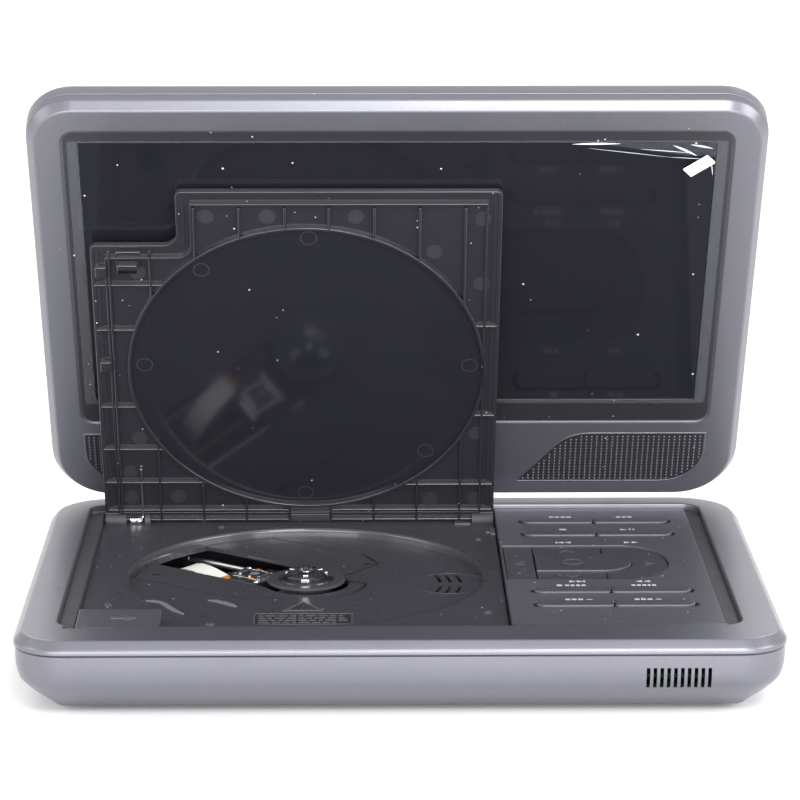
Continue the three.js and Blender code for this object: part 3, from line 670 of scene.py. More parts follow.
def deck_tray():
    """The deck, the well's floor and wall, and the strips round them, in place of one CAD node."""
    outline = rounded(BED_LEFT, BED_RIGHT, BED_FRONT, BED_BACK, 0.5)
    well = circle(*WELL, LIP_R - 0.2, FINE)
    hook_slot = rounded(-99.4, -90.6, -50.2, -42, 0.6)
    bed = plate([outline, well, hook_slot], DECK_Z - 2, DECK_Z, 0.1)
    within = rod("z", -13, WELL_FLOOR + 0.02, WELL_R - 0.06, *WELL, FINEST)
    floor_disc = carved(cad_mesh("deck_tray", IN_BASE), [within], "INTERSECT")
    wall = lathe([(WELL_R - 0.1, WELL_FLOOR - 1.9), (WELL_R - 0.1, WELL_FLOOR + 0.4), (WELL_R, DECK_Z - 0.9),
                  (WELL_R + 0.25, DECK_Z - 0.35), (WELL_R + 0.7, DECK_Z - 0.05), (WELL_R + 1.2, DECK_Z),
                  (LIP_R, DECK_Z), (LIP_R, DECK_Z - 2)], *WELL, FINEST)
    back = bars([(-113.8, BED_RIGHT, BED_BACK, 82.1, -7, -1.5), (-113.8, -109.0, -75.7, 82, -7, -2.2)])
    back = carved(back, [hinge_well()])
    piece = on_base("deck_bed", bed, "deck")
    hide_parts("deck_tray")
    on_base("well_floor", floor_disc, "deck")
    # The wall's back part is in the lighter, glossier copy of the deck plastic as a painted highlight; its
    # front part keeps the deck plastic.
    highlight_split_y = WELL[1] - 12
    on_base("well_wall_front", faces_of(wall, lambda at: at.y <= highlight_split_y), "deck")
    on_base("well_wall_back", faces_of(wall, lambda at: at.y > highlight_split_y), "well_edge")
    on_base("deck_border", back, "panel", 0.15)
    for side, word in ((-1, "left"), (1, "right")):
        on_base(f"side_strip_{word}", side_strip(side), "strip")
    brackets = [(-99.6, -93.2, 77.4, 79.5, -6.9, -4.3), (22.0, 28.4, 71.0, 79, -6.9, -4.3)]
    on_base("hinge_seats", bars(brackets), "deck", 0.4)


def deck():
    deck_tray()
    bump = [(0, 0.9), (1.1, 0.75), (1.8, -0.1)]
    bumps = [lathe(bump, x, y, 16, DECK_Z) for x, y in DECK_BUMPS]
    on_base("deck_bumps", joined(bumps), "deck")
    # The triangle, box and lines are in the lighter relief plastic, a painted highlight on their raised tops.
    triangle = [(-40, -31.6), (-26, -31.6), (-33, -18.9)]
    inner = [(-38.2, -30.7), (-27.8, -30.7), (-33, -21.2)]
    low, high = WELL_FLOOR - 0.1, WELL_FLOOR + 0.25
    on_base("blank_triangle", plate([triangle, inner], low, high, 0.08), "raised")
    frame_out = rounded(-50, -15.8, -48.1, -34.9, 0.8)
    frame_in = rounded(-49.4, -16.4, -47.5, -35.5, 0.5)
    fill = [plate([frame_in], low, WELL_FLOOR + 0.05), plate([inner], low, WELL_FLOOR + 0.05)]
    on_base("blank_fill", joined(fill), "recess")
    on_base("blank_box", plate([frame_out, frame_in], low, high, 0.08), "raised")
    lines = []
    for row in range(4):
        y = -38.2 - 2.7 * row
        x = -48.2
        for word in range(9):
            wide = 1.6 + (word * 7 + row * 5) % 4 * 0.75
            if x + wide < -17.2:
                lines.append((x, x + wide, y, y + 1.25, low, WELL_FLOOR + 0.2))
            x += wide + 0.7
    on_base("blank_lines", bars(lines), "raised", 0.1)
    # Pale crescents on the lips of the finger scoops: painted highlights.
    scoops = [leaf(WELL_SCOOP_HIGHLIGHT, low, WELL_FLOOR + 0.3), leaf(DECK_SCOOP_HIGHLIGHT, DECK_Z - 0.1, DECK_Z + 0.3)]
    on_base("scoops", joined(scoops), "scoop")
    # Near-black lines along the gaps round the loader's cover: painted shadow in the gaps.
    lines = [leaf(gap_shadow, WELL_FLOOR - 0.05, WELL_FLOOR + 0.03) for gap_shadow in COVER_GAP_SHADOWS]
    on_base("cover_seams", joined(lines), "dark")
    dimple = plate([circle(18.6, 2.4, 13.4, 64), circle(18.9, 2.4, 12.6, 64)], low, WELL_FLOOR + 0.12, 0.1)
    on_base("vent_dimple", dimple, "deck")
    # The lid switch and the button's arrow are in the lighter relief plastic too, a painted highlight.
    switch = [(35.2, 37.0, 56.5, 63.5, DECK_Z - 0.2, DECK_Z + 0.8),
              (33.4, 35.4, 59.2, 60.8, DECK_Z - 0.2, DECK_Z + 0.5)]
    on_base("lid_switch", bars(switch), "raised", 0.25)
    softened("open_button", "panel", "opener", 0.7, 4)
    arrow = [(-97, -64.6), (-92.5, -64.6), (-92.5, -66.6), (-88.6, -63.6), (-92.5, -60.6), (-92.5, -62.6),
             (-97, -62.6)]
    add_mesh("button_arrow", plate([arrow], -0.9, -0.62, 0.06), IN_BASE, "raised", "opener")


# ---- loader
TRAVEL_ANGLE = atan2(JOINTS["pickup_slide"]["axis"][1], JOINTS["pickup_slide"]["axis"][0])
IN_TRAVEL = IN_BASE @ Matrix.Translation((*WELL, 0)) @ Matrix.Rotation(TRAVEL_ANGLE, 4, "Z")
on_sled = adder(IN_TRAVEL, "sled", "metal")
HOME = 25.0
DISC_SEAT = -6.4
SLED_TOP = -10.3


def mechanism_cover():
    """The loader's cover, its window open as far as the wall of the well."""
    window = bars([(40, 80, -16.5, 13, -20, 0)])
    mesh = carved(cad_mesh("mechanism_cover", IN_TRAVEL), [window])
    piece = add_mesh("loader_cover", mesh, IN_TRAVEL, "deck", "base")
    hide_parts("mechanism_cover")
    head = [(0, 0.1), (0.5, 0.12), (1.5, 0.02), (1.7, -0.3)]
    screws = [lathe(head, x, y, 20, WELL_FLOOR) for x, y in ((-10.5, 27.5), (-86, 14.5))]
    on_base("cover_screws", joined(screws), "black", slot="black")


def spindle():
    """The disc table and the hub's sprung jaws, ribs and collar, from the disc's seat up."""
    z = DISC_SEAT
    table = lathe(
        [(7.6, -0.9), (9.4, -0.9), (9.7, -0.1), (12.9, 0.05), (13.6, -0.15), (13.9, -0.45),
         (13.9, -0.9), (13.4, -1.2), (9.0, -1.2), (9.0, -3.2), (1.4, -3.3), (1.4, -11.0),
         (0, -11.0)],
        *WELL, 72, z)
    table = on_spindle("disc_table", table, "table")
    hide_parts("spindle_hub")
    nose = lathe(
        [(0, 2.7), (1.5, 2.65), (1.9, 2.1), (2.7, 2.1), (3.0, 2.9), (5.2, 2.75),
         (6.5, 2.1), (7.3, 1.1), (7.45, -1.0)], *WELL, 72, z)
    on_spindle("hub_nose", nose, "gloss")

    def turned(boxes, degrees):
        mesh = bars(boxes)
        mesh.transform(Matrix.Translation((*WELL, 0)) @ Matrix.Rotation(radians(degrees), 4, "Z"))
        return mesh

    jaw = [(5.6, 7.95, -1.5, 1.5, z + 0.1, z + 1.7), (4.2, 6.4, -1.1, 1.1, z + 1.4, z + 2.95)]
    jaws = [turned(jaw, 120 * k + 28) for k in range(3)]
    rib = [(3.4, 6.6, -0.22, 0.22, z + 1.6, z + 3.0)]
    ribs = [turned(rib, 20 * k) for k in range(18) if k % 6 != 2]
    on_spindle("hub_jaws", joined(jaws), "bright", 0.25)
    on_spindle("hub_ribs", joined(ribs), "gloss", 0.1)
    collar = lathe([(7.5, 0.7), (8.3, 0.6), (9.2, 0.15), (9.5, -0.6)], *WELL, 72, z)
    on_spindle("hub_collar", collar, "gloss")
    magnet = lathe([(0, 2.75), (1.3, 2.85), (1.45, 2.6)], *WELL, 24, z)
    on_spindle("hub_centre", magnet, "metal")


def pickup():
    """The laser sled's fittings: the lens on its carrier, the yoke, magnets, coils and screws."""
    top = SLED_TOP
    lens_x, lens_y = HOME + 1.0, -3.2
    bed = bars([(HOME - 6.5, HOME + 9.5, -9.5, 6.5, top - 1.6, top)])
    on_sled("pickup_plate", bed, "table", 0.3)
    dome = [(0, 1.15), (1.2, 1.0), (2.0, 0.6), (2.3, 0.1), (2.3, -0.6)]
    lens = lathe(dome, lens_x, lens_y, 28, top)
    piece = on_sled("lens", lens, "lens", slot="lens")
    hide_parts("pickup_lens")
    rim = [(2.35, 0.1), (2.4, 0.75), (3.0, 0.85), (3.5, 0.6), (3.6, -0.8)]
    ring = lathe(rim, lens_x, lens_y, 28, top)
    on_sled("lens_carrier", ring, "black", slot="black")

    def around(x0, x1, y0, y1, z0, z1):
        return (lens_x + x0, lens_x + x1, lens_y + y0, lens_y + y1, top + z0, top + z1)

    yoke = [around(-6.6, -5.2, -5.5, 5.5, -0.2, 0.7), around(4.6, 5.8, -5.5, 5.5, -0.2, 0.2),
            around(-5.2, 4.6, 4.4, 5.5, -0.2, 0.35), around(-5.2, 4.6, -5.5, -4.4, -0.2, 0.35),
            around(6.4, 8.2, -5, 3, -0.1, 0.2)]
    on_sled("pickup_yoke", bars(yoke), "bright", 0.12)
    magnets = [around(-5.0, -3.7, -3.2, 3.2, -0.2, 0.85), around(3.6, 4.6, -3.2, 3.2, -0.2, 0.85)]
    on_sled("pickup_magnets", bars(magnets), "metal", 0.1)
    coils = [rod("x", lens_x - 2.0, lens_x - 1.0, 1.1, lens_y + 3.9, top + 0.2, 16),
             rod("x", lens_x + 0.4, lens_x + 1.6, 1.1, lens_y - 3.9, top + 0.2, 16)]
    on_sled("pickup_coils", joined(coils), "copper")
    chips = [around(6.6, 8.4, 3.6, 6.4, -0.1, 0.5), around(-2, 0.8, 6.2, 8.0, -0.1, 0.5),
             around(-6, -3, 6.6, 9.0, -0.1, 0.4), around(2.2, 5, 6.8, 8.6, -0.1, 0.6)]
    on_sled("pickup_parts", bars(chips), "black", 0.15, slot="black")
    head = [(0, 0.3), (0.9, 0.25), (1.1, -0.1)]
    places = ((-6.2, 7.0), (7.4, -5.9), (6.6, 8.6), (-5.9, -5.9))
    screws = [lathe(head, lens_x + u, lens_y + v, 16, top) for u, v in places]
    on_sled("pickup_screws", joined(screws), "bright")


def flat_cable():
    """The white cable arches from the sled's outer end down to the chassis, with an amber tip."""
    path = [(HOME + along, z) for along, z in (
        (5.0, -10.2), (7.5, -9.9), (11, -9.5), (15, -9.1), (19, -9.0), (23, -9.2), (26.5, -10.0),
        (29.5, -11.6), (31.5, -14), (32.5, -18)
    )]
    half, thick, slant, start_y = 4.6, 0.14, 0.28, 9.4
    section = [(side, lift) for lift in (0, thick) for side in (-half, half)]

    def strip(start, end):
        def build(bm):
            rows = []
            for along, z in path[start:end]:
                middle = start_y - slant * (along - HOME - 5)
                rows.append([bm.verts.new((along, middle + side, z + lift)) for side, lift in section])
            for a, b in zip(rows, rows[1:]):
                for i, j in ((0, 1), (1, 3), (3, 2), (2, 0)):
                    bm.faces.new((a[i], a[j], b[j], b[i]))

        return mesh_of("strip", build)

    white = add_mesh("cable", strip(1, len(path)), IN_TRAVEL, "ribbon", "base")
    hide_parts("flat_cable")
    tip = add_mesh("cable_tip", strip(0, 2), IN_TRAVEL, "amber", "base")
    for piece in (white, tip):
        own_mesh(piece)


def loader():
    mechanism_cover()
    for name in ("spindle_motor", "sled_motor", "guide_rod_front", "guide_rod_back"):
        softened(name, "metal", "base", 0.15)
    softened("loader_chassis", "black", "base", 0.2)
    softened("pickup_sled", "black", "sled", 0.2)
    softened("lead_screw", "brass", "screw", 0.1)
    spindle()
    pickup()
    flat_cable()


# ---- keys
PILL_ROWS = (59.7, 42.0, -32.8, -49.5)
LABEL_X = (61.5, 85.3)


def symbol(parts, x, y):
    """Small printed shapes, each a list of points about its own middle, at x, y on the panel."""
    return [plate([[(x + px, y + py) for px, py in part]], PANEL_Z, PANEL_Z + 0.05) for part in parts]


def block(x0, x1, y0, y1):
    return [(x0, y0), (x1, y0), (x1, y1), (x0, y1)]


def arrowhead(x, way, wide=2.2, high=1.1):
    return [(x, -high), (x + way * wide, 0), (x, high)]


def dashes(*widths):
    """A row of plain blocks in place of a printed word."""
    total = sum(widths) + 0.5 * (len(widths) - 1)
    out, x = [], -total / 2
    for width in widths:
        out.append(block(x, x + width, -0.85, 0.85))
        x += width + 0.5
    return out


def printed_symbols():
    left, right = LABEL_X
    skip_back = [block(-3.7, -3.1, -1.1, 1.1), arrowhead(-0.8, -1), arrowhead(1.8, -1)]
    skip_on = [arrowhead(-1.8, 1), arrowhead(0.8, 1), block(3.1, 3.7, -1.1, 1.1)]
    search_on = [arrowhead(-2.6, 1), arrowhead(0.2, 1)]
    search_back = [arrowhead(-0.2, -1), arrowhead(2.6, -1)]
    play = [arrowhead(-2.6, 1, 2.4), block(0.6, 1.3, -1.1, 1.1), block(1.9, 2.6, -1.1, 1.1)]
    minus = dashes(1.7, 1.7, 1.7) + [block(4.2, 6.2, -0.25, 0.25)]
    plus = dashes(1.7, 1.7, 1.7) + [block(4.2, 6.2, -0.25, 0.25), block(4.95, 5.45, -1.0, 1.0)]
    labels = [
        (dashes(1.7, 1.7, 1.7, 1.7), left, 68.9), (dashes(1.6, 1.6, 1.6), right, 68.9),
        ([block(-1.3, 1.3, -1.2, 1.2)], left, 50.8), (play, right, 50.8),
        (skip_back, left, 33.1), (search_on, right, 33.1),
        (skip_on, left, -18.3), (search_back, right, -18.3),
        (dashes(1.4, 1.4, 1.4, 1.4) + [circle(-5.6, 0, 1.1, 14)], left, -23.2),
        (dashes(1.4, 1.4, 1.4, 1.0, 1.4), right, -23.2),
        (minus, left - 1.5, -40.7), (plus, right - 1.5, -40.7),
    ]
    shapes = [mesh for parts, x, y in labels for mesh in symbol(parts, x, y)]
    on_base("printed_symbols", joined(shapes), "print", slot="key")


def key_reliefs():
    """Arrows and a ring raised on the pad keys, in a lighter plastic as a painted highlight on their tops."""
    z = PANEL_Z - 0.5
    chevron = ((-2.8, 0), (0, 3.4), (2.8, 0), (1.6, 0), (0, 1.8), (-1.6, 0))
    for name, x, y, way_x, way_y in (
        ("key_up", 61.3, 21.6, 0, 1), ("key_down", 61.3, -8.2, 0, -1),
        ("key_left", 45.2, 6.5, -1, 0), ("key_right", 88, 6.5, 1, 0),
    ):
        loop = [(x + wide * abs(way_y) + long * way_x, y + wide * abs(way_x) + long * way_y)
                for wide, long in chevron]
        add_mesh(name + "_arrow", plate([loop], z, z + 0.12), IN_BASE, "raised", name)
    top = PANEL_Z + 0.2
    ring = plate([circle(62.5, 6.5, 3.6, 40), circle(62.5, 6.5, 2.9, 40)], top - 0.02, top + 0.12)
    add_mesh("ok_ring", ring, IN_BASE, "raised", "key_ok")


KEY_ENDS, KEY_SPLIT, KEY_DEEP, KEY_FOOT = (46.7, 101.1), 73.4, 6.4, -4.0
PAD_BACK, PAD_FRONT, PAD_END, PAD_NOSE = 28.8, -14.9, 96.2, 16.0
OK_LEFT, OK_RIGHT, OK_FRONT, OK_BACK = 49.1, 83.3, -4.3, 17.4


def pad_end(x0, x1, y0, y1, steps=24):
    """Square at the left, elliptical at the right."""
    nose, middle, high = PAD_NOSE, (y0 + y1) / 2, (y1 - y0) / 2
    curve = [(x1 - nose + nose * cos(a), middle + high * sin(a)) for a in
             [pi * (k / steps - 0.5) for k in range(steps + 1)]]
    return [(x0, y0)] + curve + [(x0, y1)]


def ok_outline(grow):
    x0, x1 = OK_LEFT - grow, OK_RIGHT + grow
    y0, y1 = OK_FRONT - grow, OK_BACK + grow
    r = (y1 - y0) / 2
    return [(x0, y0)] + arc(x1 - r, (y0 + y1) / 2, r, -90, 90, 20) + [(x0, y1)]


def key_panel():
    left, right = KEY_ENDS[0] - 1.3, KEY_ENDS[1] + 1.3
    holes = [rounded(left, right, y - 0.25, y + KEY_DEEP + 0.25, 3.4, 8) for y in PILL_ROWS]
    holes.append(pad_end(38.1, PAD_END + 0.35, PAD_FRONT - 0.35, PAD_BACK + 0.35))
    outline = rounded(37.4, 109.0, -71.5, 82.1, (0.4, 2.6, 0.4, 0.4), 6)
    face = plate([outline, *holes], DECK_Z - 0.1, PANEL_Z, 0.28, 3)
    piece = on_base("panel_face", face, "panel")
    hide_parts("key_panel")
    under = bars([(37.5, 113.8, -75.7, -71.6, -5, -2.2), (109.0, 113.8, -75.7, 82, -5, -2.2)])
    on_base("panel_border", under, "strip")
    front_strip = plate([rounded(37.4, 109.4, -75.9, -71.0, 0.3)], -2.3, -1.0, 0.25)
    on_base("panel_front", front_strip, "casing")


def dress_key(name, mesh, look):
    """A key's cap, in place of its CAD node."""
    piece = add_mesh(name + "_key", mesh, IN_BASE, look, "key_" + name)
    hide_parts("key_" + name)


def row_keys():
    half = KEY_DEEP / 2 - 0.02
    pairs = (("source", "setup"), ("stop", "play"), ("pair", "card"), ("volume_down", "volume_up"))
    for y, names in zip(PILL_ROWS, pairs):
        left = rounded(KEY_ENDS[0], KEY_SPLIT - 0.2, y, y + KEY_DEEP, (half, 1.2, 0.3, half), 8)
        right = rounded(KEY_SPLIT + 0.2, KEY_ENDS[1], y, y + KEY_DEEP, (1.2, half, half, 0.3), 8)
        for name, loop in zip(names, (left, right)):
            dress_key(name, plate([loop], KEY_FOOT, PANEL_Z + 0.6, 0.55, 4), "key")


def pad_keys():
    x0, x1, gap = OK_LEFT, KEY_SPLIT, 0.4
    shapes = {
        "up": rounded(x0, x1, OK_BACK + gap, PAD_BACK, 0.3, 2),
        "down": rounded(x0, x1, PAD_FRONT, OK_FRONT - gap, 0.3, 2),
        "left": rounded(38.4, x0 - gap, PAD_FRONT, PAD_BACK, 0.3, 2),
    }
    for name, loop in shapes.items():
        dress_key(name, plate([loop], KEY_FOOT, PANEL_Z - 0.5, 0.25, 3), "deck")
    end = plate([pad_end(x1 + gap, PAD_END, PAD_FRONT, PAD_BACK)], KEY_FOOT, PANEL_Z - 0.5, 0.25, 3)
    dress_key("right", carved(end, [plate([ok_outline(gap)], -8, 3)]), "deck")
    dress_key("ok", plate([ok_outline(0)], KEY_FOOT, PANEL_Z + 0.2, 0.5, 4), "deck")


def keys():
    key_panel()
    row_keys()
    pad_keys()
    printed_symbols()
    key_reliefs()


# ---- disc door
RIB_HALF = 0.45
VERTICAL_RIBS = [-71.3, -55.4, -39.4, -23.9, -8, 8, 24]
LEFT_RIBS = [110, 89.9, 54.4, 34.3, 18.3]
RIGHT_RIBS = [91.3, 50.1, 17.1]
# Ribs behind the cut corner, as x and two distances from the hinge, and the two beside the hinge
NOTCH_RIBS = [(-101.7, 125.4, 0), (-87.3, 125.4, 104.8), (-87.3, 38.9, 0)]
HINGE_RIBS = (4.8, 0.1)
KNUCKLES = ((-108.2, -100.4), (-93.6, -91.4), (28.6, 36.8))
KNUCKLE_R = 2.7
EJECTOR_MARKS = [(-67.1, 139.3), (-45.5, 139.3), (-14.6, 139.2), (30.2, 138.1), (13.2, 123.8), (30.2, 109.8),
                 (-69.2, 116.1), (-91.9, 115.1), (-90.9, 73.4), (26.6, 72.8), (11.1, 32.6), (29.6, 40.8),
                 (-31.1, 130), (-33.3, 12.6), (-80.7, 10.6), (-94.1, 38.9), (-98.2, 22.5), (-98.2, 10.1),
                 (13.1, 8.9), (29.6, 9.4)]


def door_y(v):
    """Layout y of a point that far from the door's hinge."""
    return DOOR_HINGE[0] - v


def door_outline(inset):
    """The door's outline with its cut corner, drawn in by inset."""
    left, right = DOOR_LEFT + inset, DOOR_RIGHT - inset
    front, back = DOOR_FRONT + inset, DOOR_BACK - inset
    notch_x, notch_y = NOTCH_X + inset, NOTCH_Y + inset
    corner = max(2.2 - inset, 0.4)
    return (
        arc(right - corner, front + corner, corner, 270, 360, 5)
        + [(right, back), (left, back)]
        + arc(left + corner, notch_y + corner, corner, 180, 270, 5)
        + arc(notch_x - 5, notch_y - 5, 5, 90, 0, 6)
        + arc(notch_x + corner, front + corner, corner, 180, 270, 5)
    )


def outside_ring(fixed, along_x):
    """How far the disc ring reaches from its centre along a rib at that x or y."""
    offset = fixed - (WELL[1] if along_x else WELL[0])
    return sqrt(max(0.0, (DISC_RING + 0.3) ** 2 - offset**2))


def door():
    top, skin, tips = DOOR_TOP, DOOR_SKIN, DOOR_RIBS
    piece = on_door("door_skin", plate([door_outline(0)], skin, top, 0.45), "door")
    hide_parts("disc_door")
    outer = plate([door_outline(0), door_outline(1.5)], skin - 0.9, skin + 0.2, 0.25)
    middle = plate([door_outline(1.4), door_outline(3.1)], skin - 0.45, skin + 0.1, 0.15)
    inner = plate([door_outline(4.9), door_outline(5.8)], tips, skin + 0.1, 0.2)
    on_door("door_lips", joined([outer, middle, inner]), "door")
    ring_lines = [circle(*WELL, DISC_RING + 0.6, FINE), circle(*WELL, DISC_RING - 0.6, FINE)]
    ring = plate(ring_lines, tips, skin + 0.1, 0.25)
    on_door("door_ring", ring, "door")
    disc = plate([circle(*WELL, DISC_RING - 0.8, FINE)], skin - 0.12, skin + 0.1, 0.05)
    on_door("door_disc", disc, "door_disc")

    def upright(x, y0, y1):
        return (x - RIB_HALF, x + RIB_HALF, y0, y1, tips, skin + 0.1)

    def across(v, x0, x1):
        return (x0, x1, door_y(v) - RIB_HALF, door_y(v) + RIB_HALF, tips, skin + 0.1)

    ribs = []
    for x in VERTICAL_RIBS:
        reach = outside_ring(x, False)
        ribs += [upright(x, door_y(143.8), WELL[1] - reach), upright(x, WELL[1] + reach, door_y(0))]
    ribs += [across(v, -107.4, WELL[0] - outside_ring(door_y(v), True)) for v in LEFT_RIBS]
    ribs += [across(v, WELL[0] + outside_ring(door_y(v), True), 36) for v in RIGHT_RIBS]
    ribs += [upright(x, door_y(start), door_y(end)) for x, start, end in NOTCH_RIBS]
    ribs += [across(v, x0, x1) for v in HINGE_RIBS for x0, x1 in ((-107, -39.5), (-24, 36))]
    on_door("door_ribs", bars(ribs), "door", 0.22)

    marks = [plate([circle(u, door_y(v), 3.0, 28), circle(u, door_y(v), 2.6, 28)], skin - 0.14, skin + 0.1)
             for u, v in EJECTOR_MARKS]
    faces = [plate([circle(u, door_y(v), 2.5, 28)], skin - 0.08, skin + 0.1) for u, v in EJECTOR_MARKS]
    on_door("ejector_marks", joined(marks + faces), "mark")

    hook = [(-98.5, -91.5, -46.6, -44.6, -9.4, skin), (-98.5, -91.5, -48.2, -44.6, -9.4, -8.0),
            (-99.4, -90.6, -49.8, -42.6, skin - 0.9, skin)]
    on_door("door_hook", bars(hook), "door", 0.3)
    clips = [(-106.8, -102.8, door_y(v) - 2.2, door_y(v) + 2.2, tips - 0.5, skin) for v in (116.2, 73.5)]
    on_door("door_clips", bars(clips), "door", 0.3)

    y, z = DOOR_HINGE
    knuckles = [rod("x", a, b, KNUCKLE_R, y, z) for a, b in KNUCKLES]
    webs = [(a, b, y - 3.4, y + 1.2, z, skin) for a, b in KNUCKLES]
    webs.append((-39.0, -24.5, y - 3.0, y - 0.5, tips - 0.2, skin))
    on_door("door_knuckles", joined([*knuckles, bars(webs)]), "strip", 0.3)
    coil = []
    turns, per_turn, r = 7, 14, 1.35
    for i in range(turns * per_turn + 1):
        angle = 2 * pi * i / per_turn
        x = -99.2 + 4.9 * i / (turns * per_turn)
        coil.append((x, y + r * cos(angle), z + r * sin(angle)))
    leg = [(-94.1, y + 2.3, z + 0.2), (-94.1, y - 12, z + 0.3), (-94.1, y - 24.5, z + 0.5)]
    spring = joined([tube(coil, 0.32), tube(leg, 0.42)])
    piece = on_door("spring", spring, "bright", slot="metal")
    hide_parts("door_spring")


# ---- lid
def lid_y(v):
    """Layout y of a point that far from the lid's hinge-side ridge."""
    return RIM[1] - v


def grille_outline(side, inset=0.0):
    """A speaker grille: a slanted, rounded inner end and a rounded outer corner."""
    top, bottom, outer = 31.6 - inset, 6.0 + inset, 115.8 - inset
    r_in, r_out = 17.0 - inset, 16.0 - inset
    points = [(44.5 + 2.2 * inset, bottom), (outer - r_out, bottom)]
    points += arc(outer - r_out, bottom + r_out, r_out, 270, 360, 8)[1:]
    points += [(outer, top)]
    points += arc(72.5, top - r_in, r_in, 90, 133, 6)
    return [(side * u, lid_y(v)) for u, v in points]


def inside(point, outline):
    x, y = point
    hit = False
    for (x0, y0), (x1, y1) in zip(outline, outline[1:] + outline[:1]):
        if (y0 > y) != (y1 > y) and x < (x1 - x0) * (y - y0) / (y1 - y0) + x0:
            hit = not hit
    return hit


PIP_PITCH_X, PIP_PITCH_Y, PIP_R = 1.93, 1.55, 0.42


def grille(side):
    """A speaker grille's border, field and dots."""
    border = plate([grille_outline(side), grille_outline(side, 0.7)], LID_FACE - 0.22, LID_FACE + 0.2, 0.16)
    field = grille_outline(side, 1.4)
    profile = [(0, -0.3), (PIP_R * 0.6, -0.22), (PIP_R, 0.05)]
    places = [(side * column * PIP_PITCH_X, lid_y(row * PIP_PITCH_Y))
              for row in range(4, 21) for column in range(22, 61)]
    pips = [lathe(profile, x, y, 6, LID_FACE) for x, y in places if inside((x, y), field)]
    face = plate([grille_outline(side, 0.6)], LID_FACE - 0.04, LID_FACE + 0.2)
    return border, face, joined(pips)


HINGE_NOTCH = (-16.5, 16.5, 80.5, 120, -5, 40)
LID_TOP, LID_SPLIT = 14.5, 6.5


def lid_frame():
    def window(grow, z):
        return panel_ring(-SCREEN_X - grow, SCREEN_X + grow, lid_y(SCREEN_HIGH) - grow,
                          lid_y(SCREEN_LOW) + grow, max(grow, 0.05), z)

    def step(grow, z):
        return panel_ring(-116 - grow, 116 + grow, lid_y(176) - grow, lid_y(37) + grow, 5 + grow, z)

    face, sunk = LID_FACE, LID_FACE + 0.6
    rings = [window(0, sunk + 1.4), window(0, sunk + 0.35), window(0.3, sunk + 0.05), window(0.6, sunk)]
    rings += [step(-0.9, sunk), step(-0.35, sunk - 0.08), step(0, sunk - 0.3), step(0.35, face + 0.05),
              step(0.8, face)]
    rings += [plan(-0.6, face), plan(0, face + 0.06), plan(0.4, face + 0.35), plan(2.2, face + 2.7),
              plan(2.55, face + 3.3), plan(2.7, face + 4.0), plan(2.7, LID_SPLIT - 0.2), plan(2.5, LID_SPLIT)]
    rings += [plan(0.7, LID_SPLIT), plan(0.7, face + 2), window(6, face + 2), window(6, sunk + 1.4)]
    mesh = carved(lofted(rings), [bars([HINGE_NOTCH])])
    bosses = bars([(side * 20.5 - 3.5, side * 20.5 + 3.5, 85.7, 92.9, 2.3, 6.0) for side in (-1, 1)])
    piece = on_lid("lid_frame", mesh, "casing")
    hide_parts("lid_front_frame")
    step_face = plate([rounded(-115.6, 115.6, lid_y(175.6), lid_y(37.4), 4.6),
                       rounded(-SCREEN_X, SCREEN_X, lid_y(SCREEN_HIGH), lid_y(SCREEN_LOW), 0.1)],
                      sunk - 0.06, sunk + 0.3)
    on_lid("screen_surround", step_face, "surround", slot="black")
    on_lid("lid_bosses", bosses, "casing", 0.3)


def lid_shell():
    low, top = LID_SPLIT + 0.3, LID_TOP
    rings = [plan(2.5, low), plan(2.7, low + 0.2), plan(2.7, top - 3.6), plan(2.2, top - 2.6),
             plan(1.25, top - 1.6), plan(0.2, top - 0.65), plan(-1.2, top - 0.12), plan(-3.0, top)]
    inner = [plan(-3.0, top - WALL), plan(0.6, top - WALL - 0.6), plan(0.6, low)]
    notch = carved(lofted(rings + inner), [bars([HINGE_NOTCH])])
    piece = on_lid("lid_shell", notch, "casing")
    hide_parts("lid_back_shell")
    middle = plate([[(x, y) for x, y, _ in plan(-2.9, 0)]], top - WALL, top)
    middle = carved(middle, [bars([HINGE_NOTCH])])
    on_lid("lid_back_face", middle, "casing")
    walls = ((-18.5, -16.5, RIM[1]), (16.5, 18.5, RIM[1]), (-18.5, 18.5, 80.5))
    pocket = bars([(x0, x1, 78.5, y1, low, top - 0.5) for x0, x1, y1 in walls])
    on_lid("hinge_pocket", pocket, "casing", 0.2)


def sliver(start, end, half):
    """A thin leaf between two (u, v) points of the lid, widest in its middle."""
    a, b = Vector(start), Vector(end)
    side = Vector((a.y - b.y, b.x - a.x)).normalized() * half
    shares = [k / 10 for k in range(11)]
    there = [a.lerp(b, k) + side * sin(pi * k) for k in shares]
    back = [a.lerp(b, k) - side * 0.5 * sin(pi * k) for k in reversed(shares[1:-1])]
    return [(p.x, lid_y(p.y)) for p in there + back]


# Painted highlights along the creases of the film at its lifted corner: two (u, v) ends and a half width
FILM_CREASE_GLINTS = [
    ((60, 170.4), (77, 170.6), 0.55), ((84, 168.2), (102, 166.4), 0.16), ((95, 169.9), (103.5, 165.2), 0.6),
    ((101, 170.2), (109, 168.4), 0.5), ((108.6, 163), (109.6, 156), 0.18), ((66, 168.6), (94, 164.6), 0.1),
    ((94, 164.6), (108, 163.6), 0.12),
]


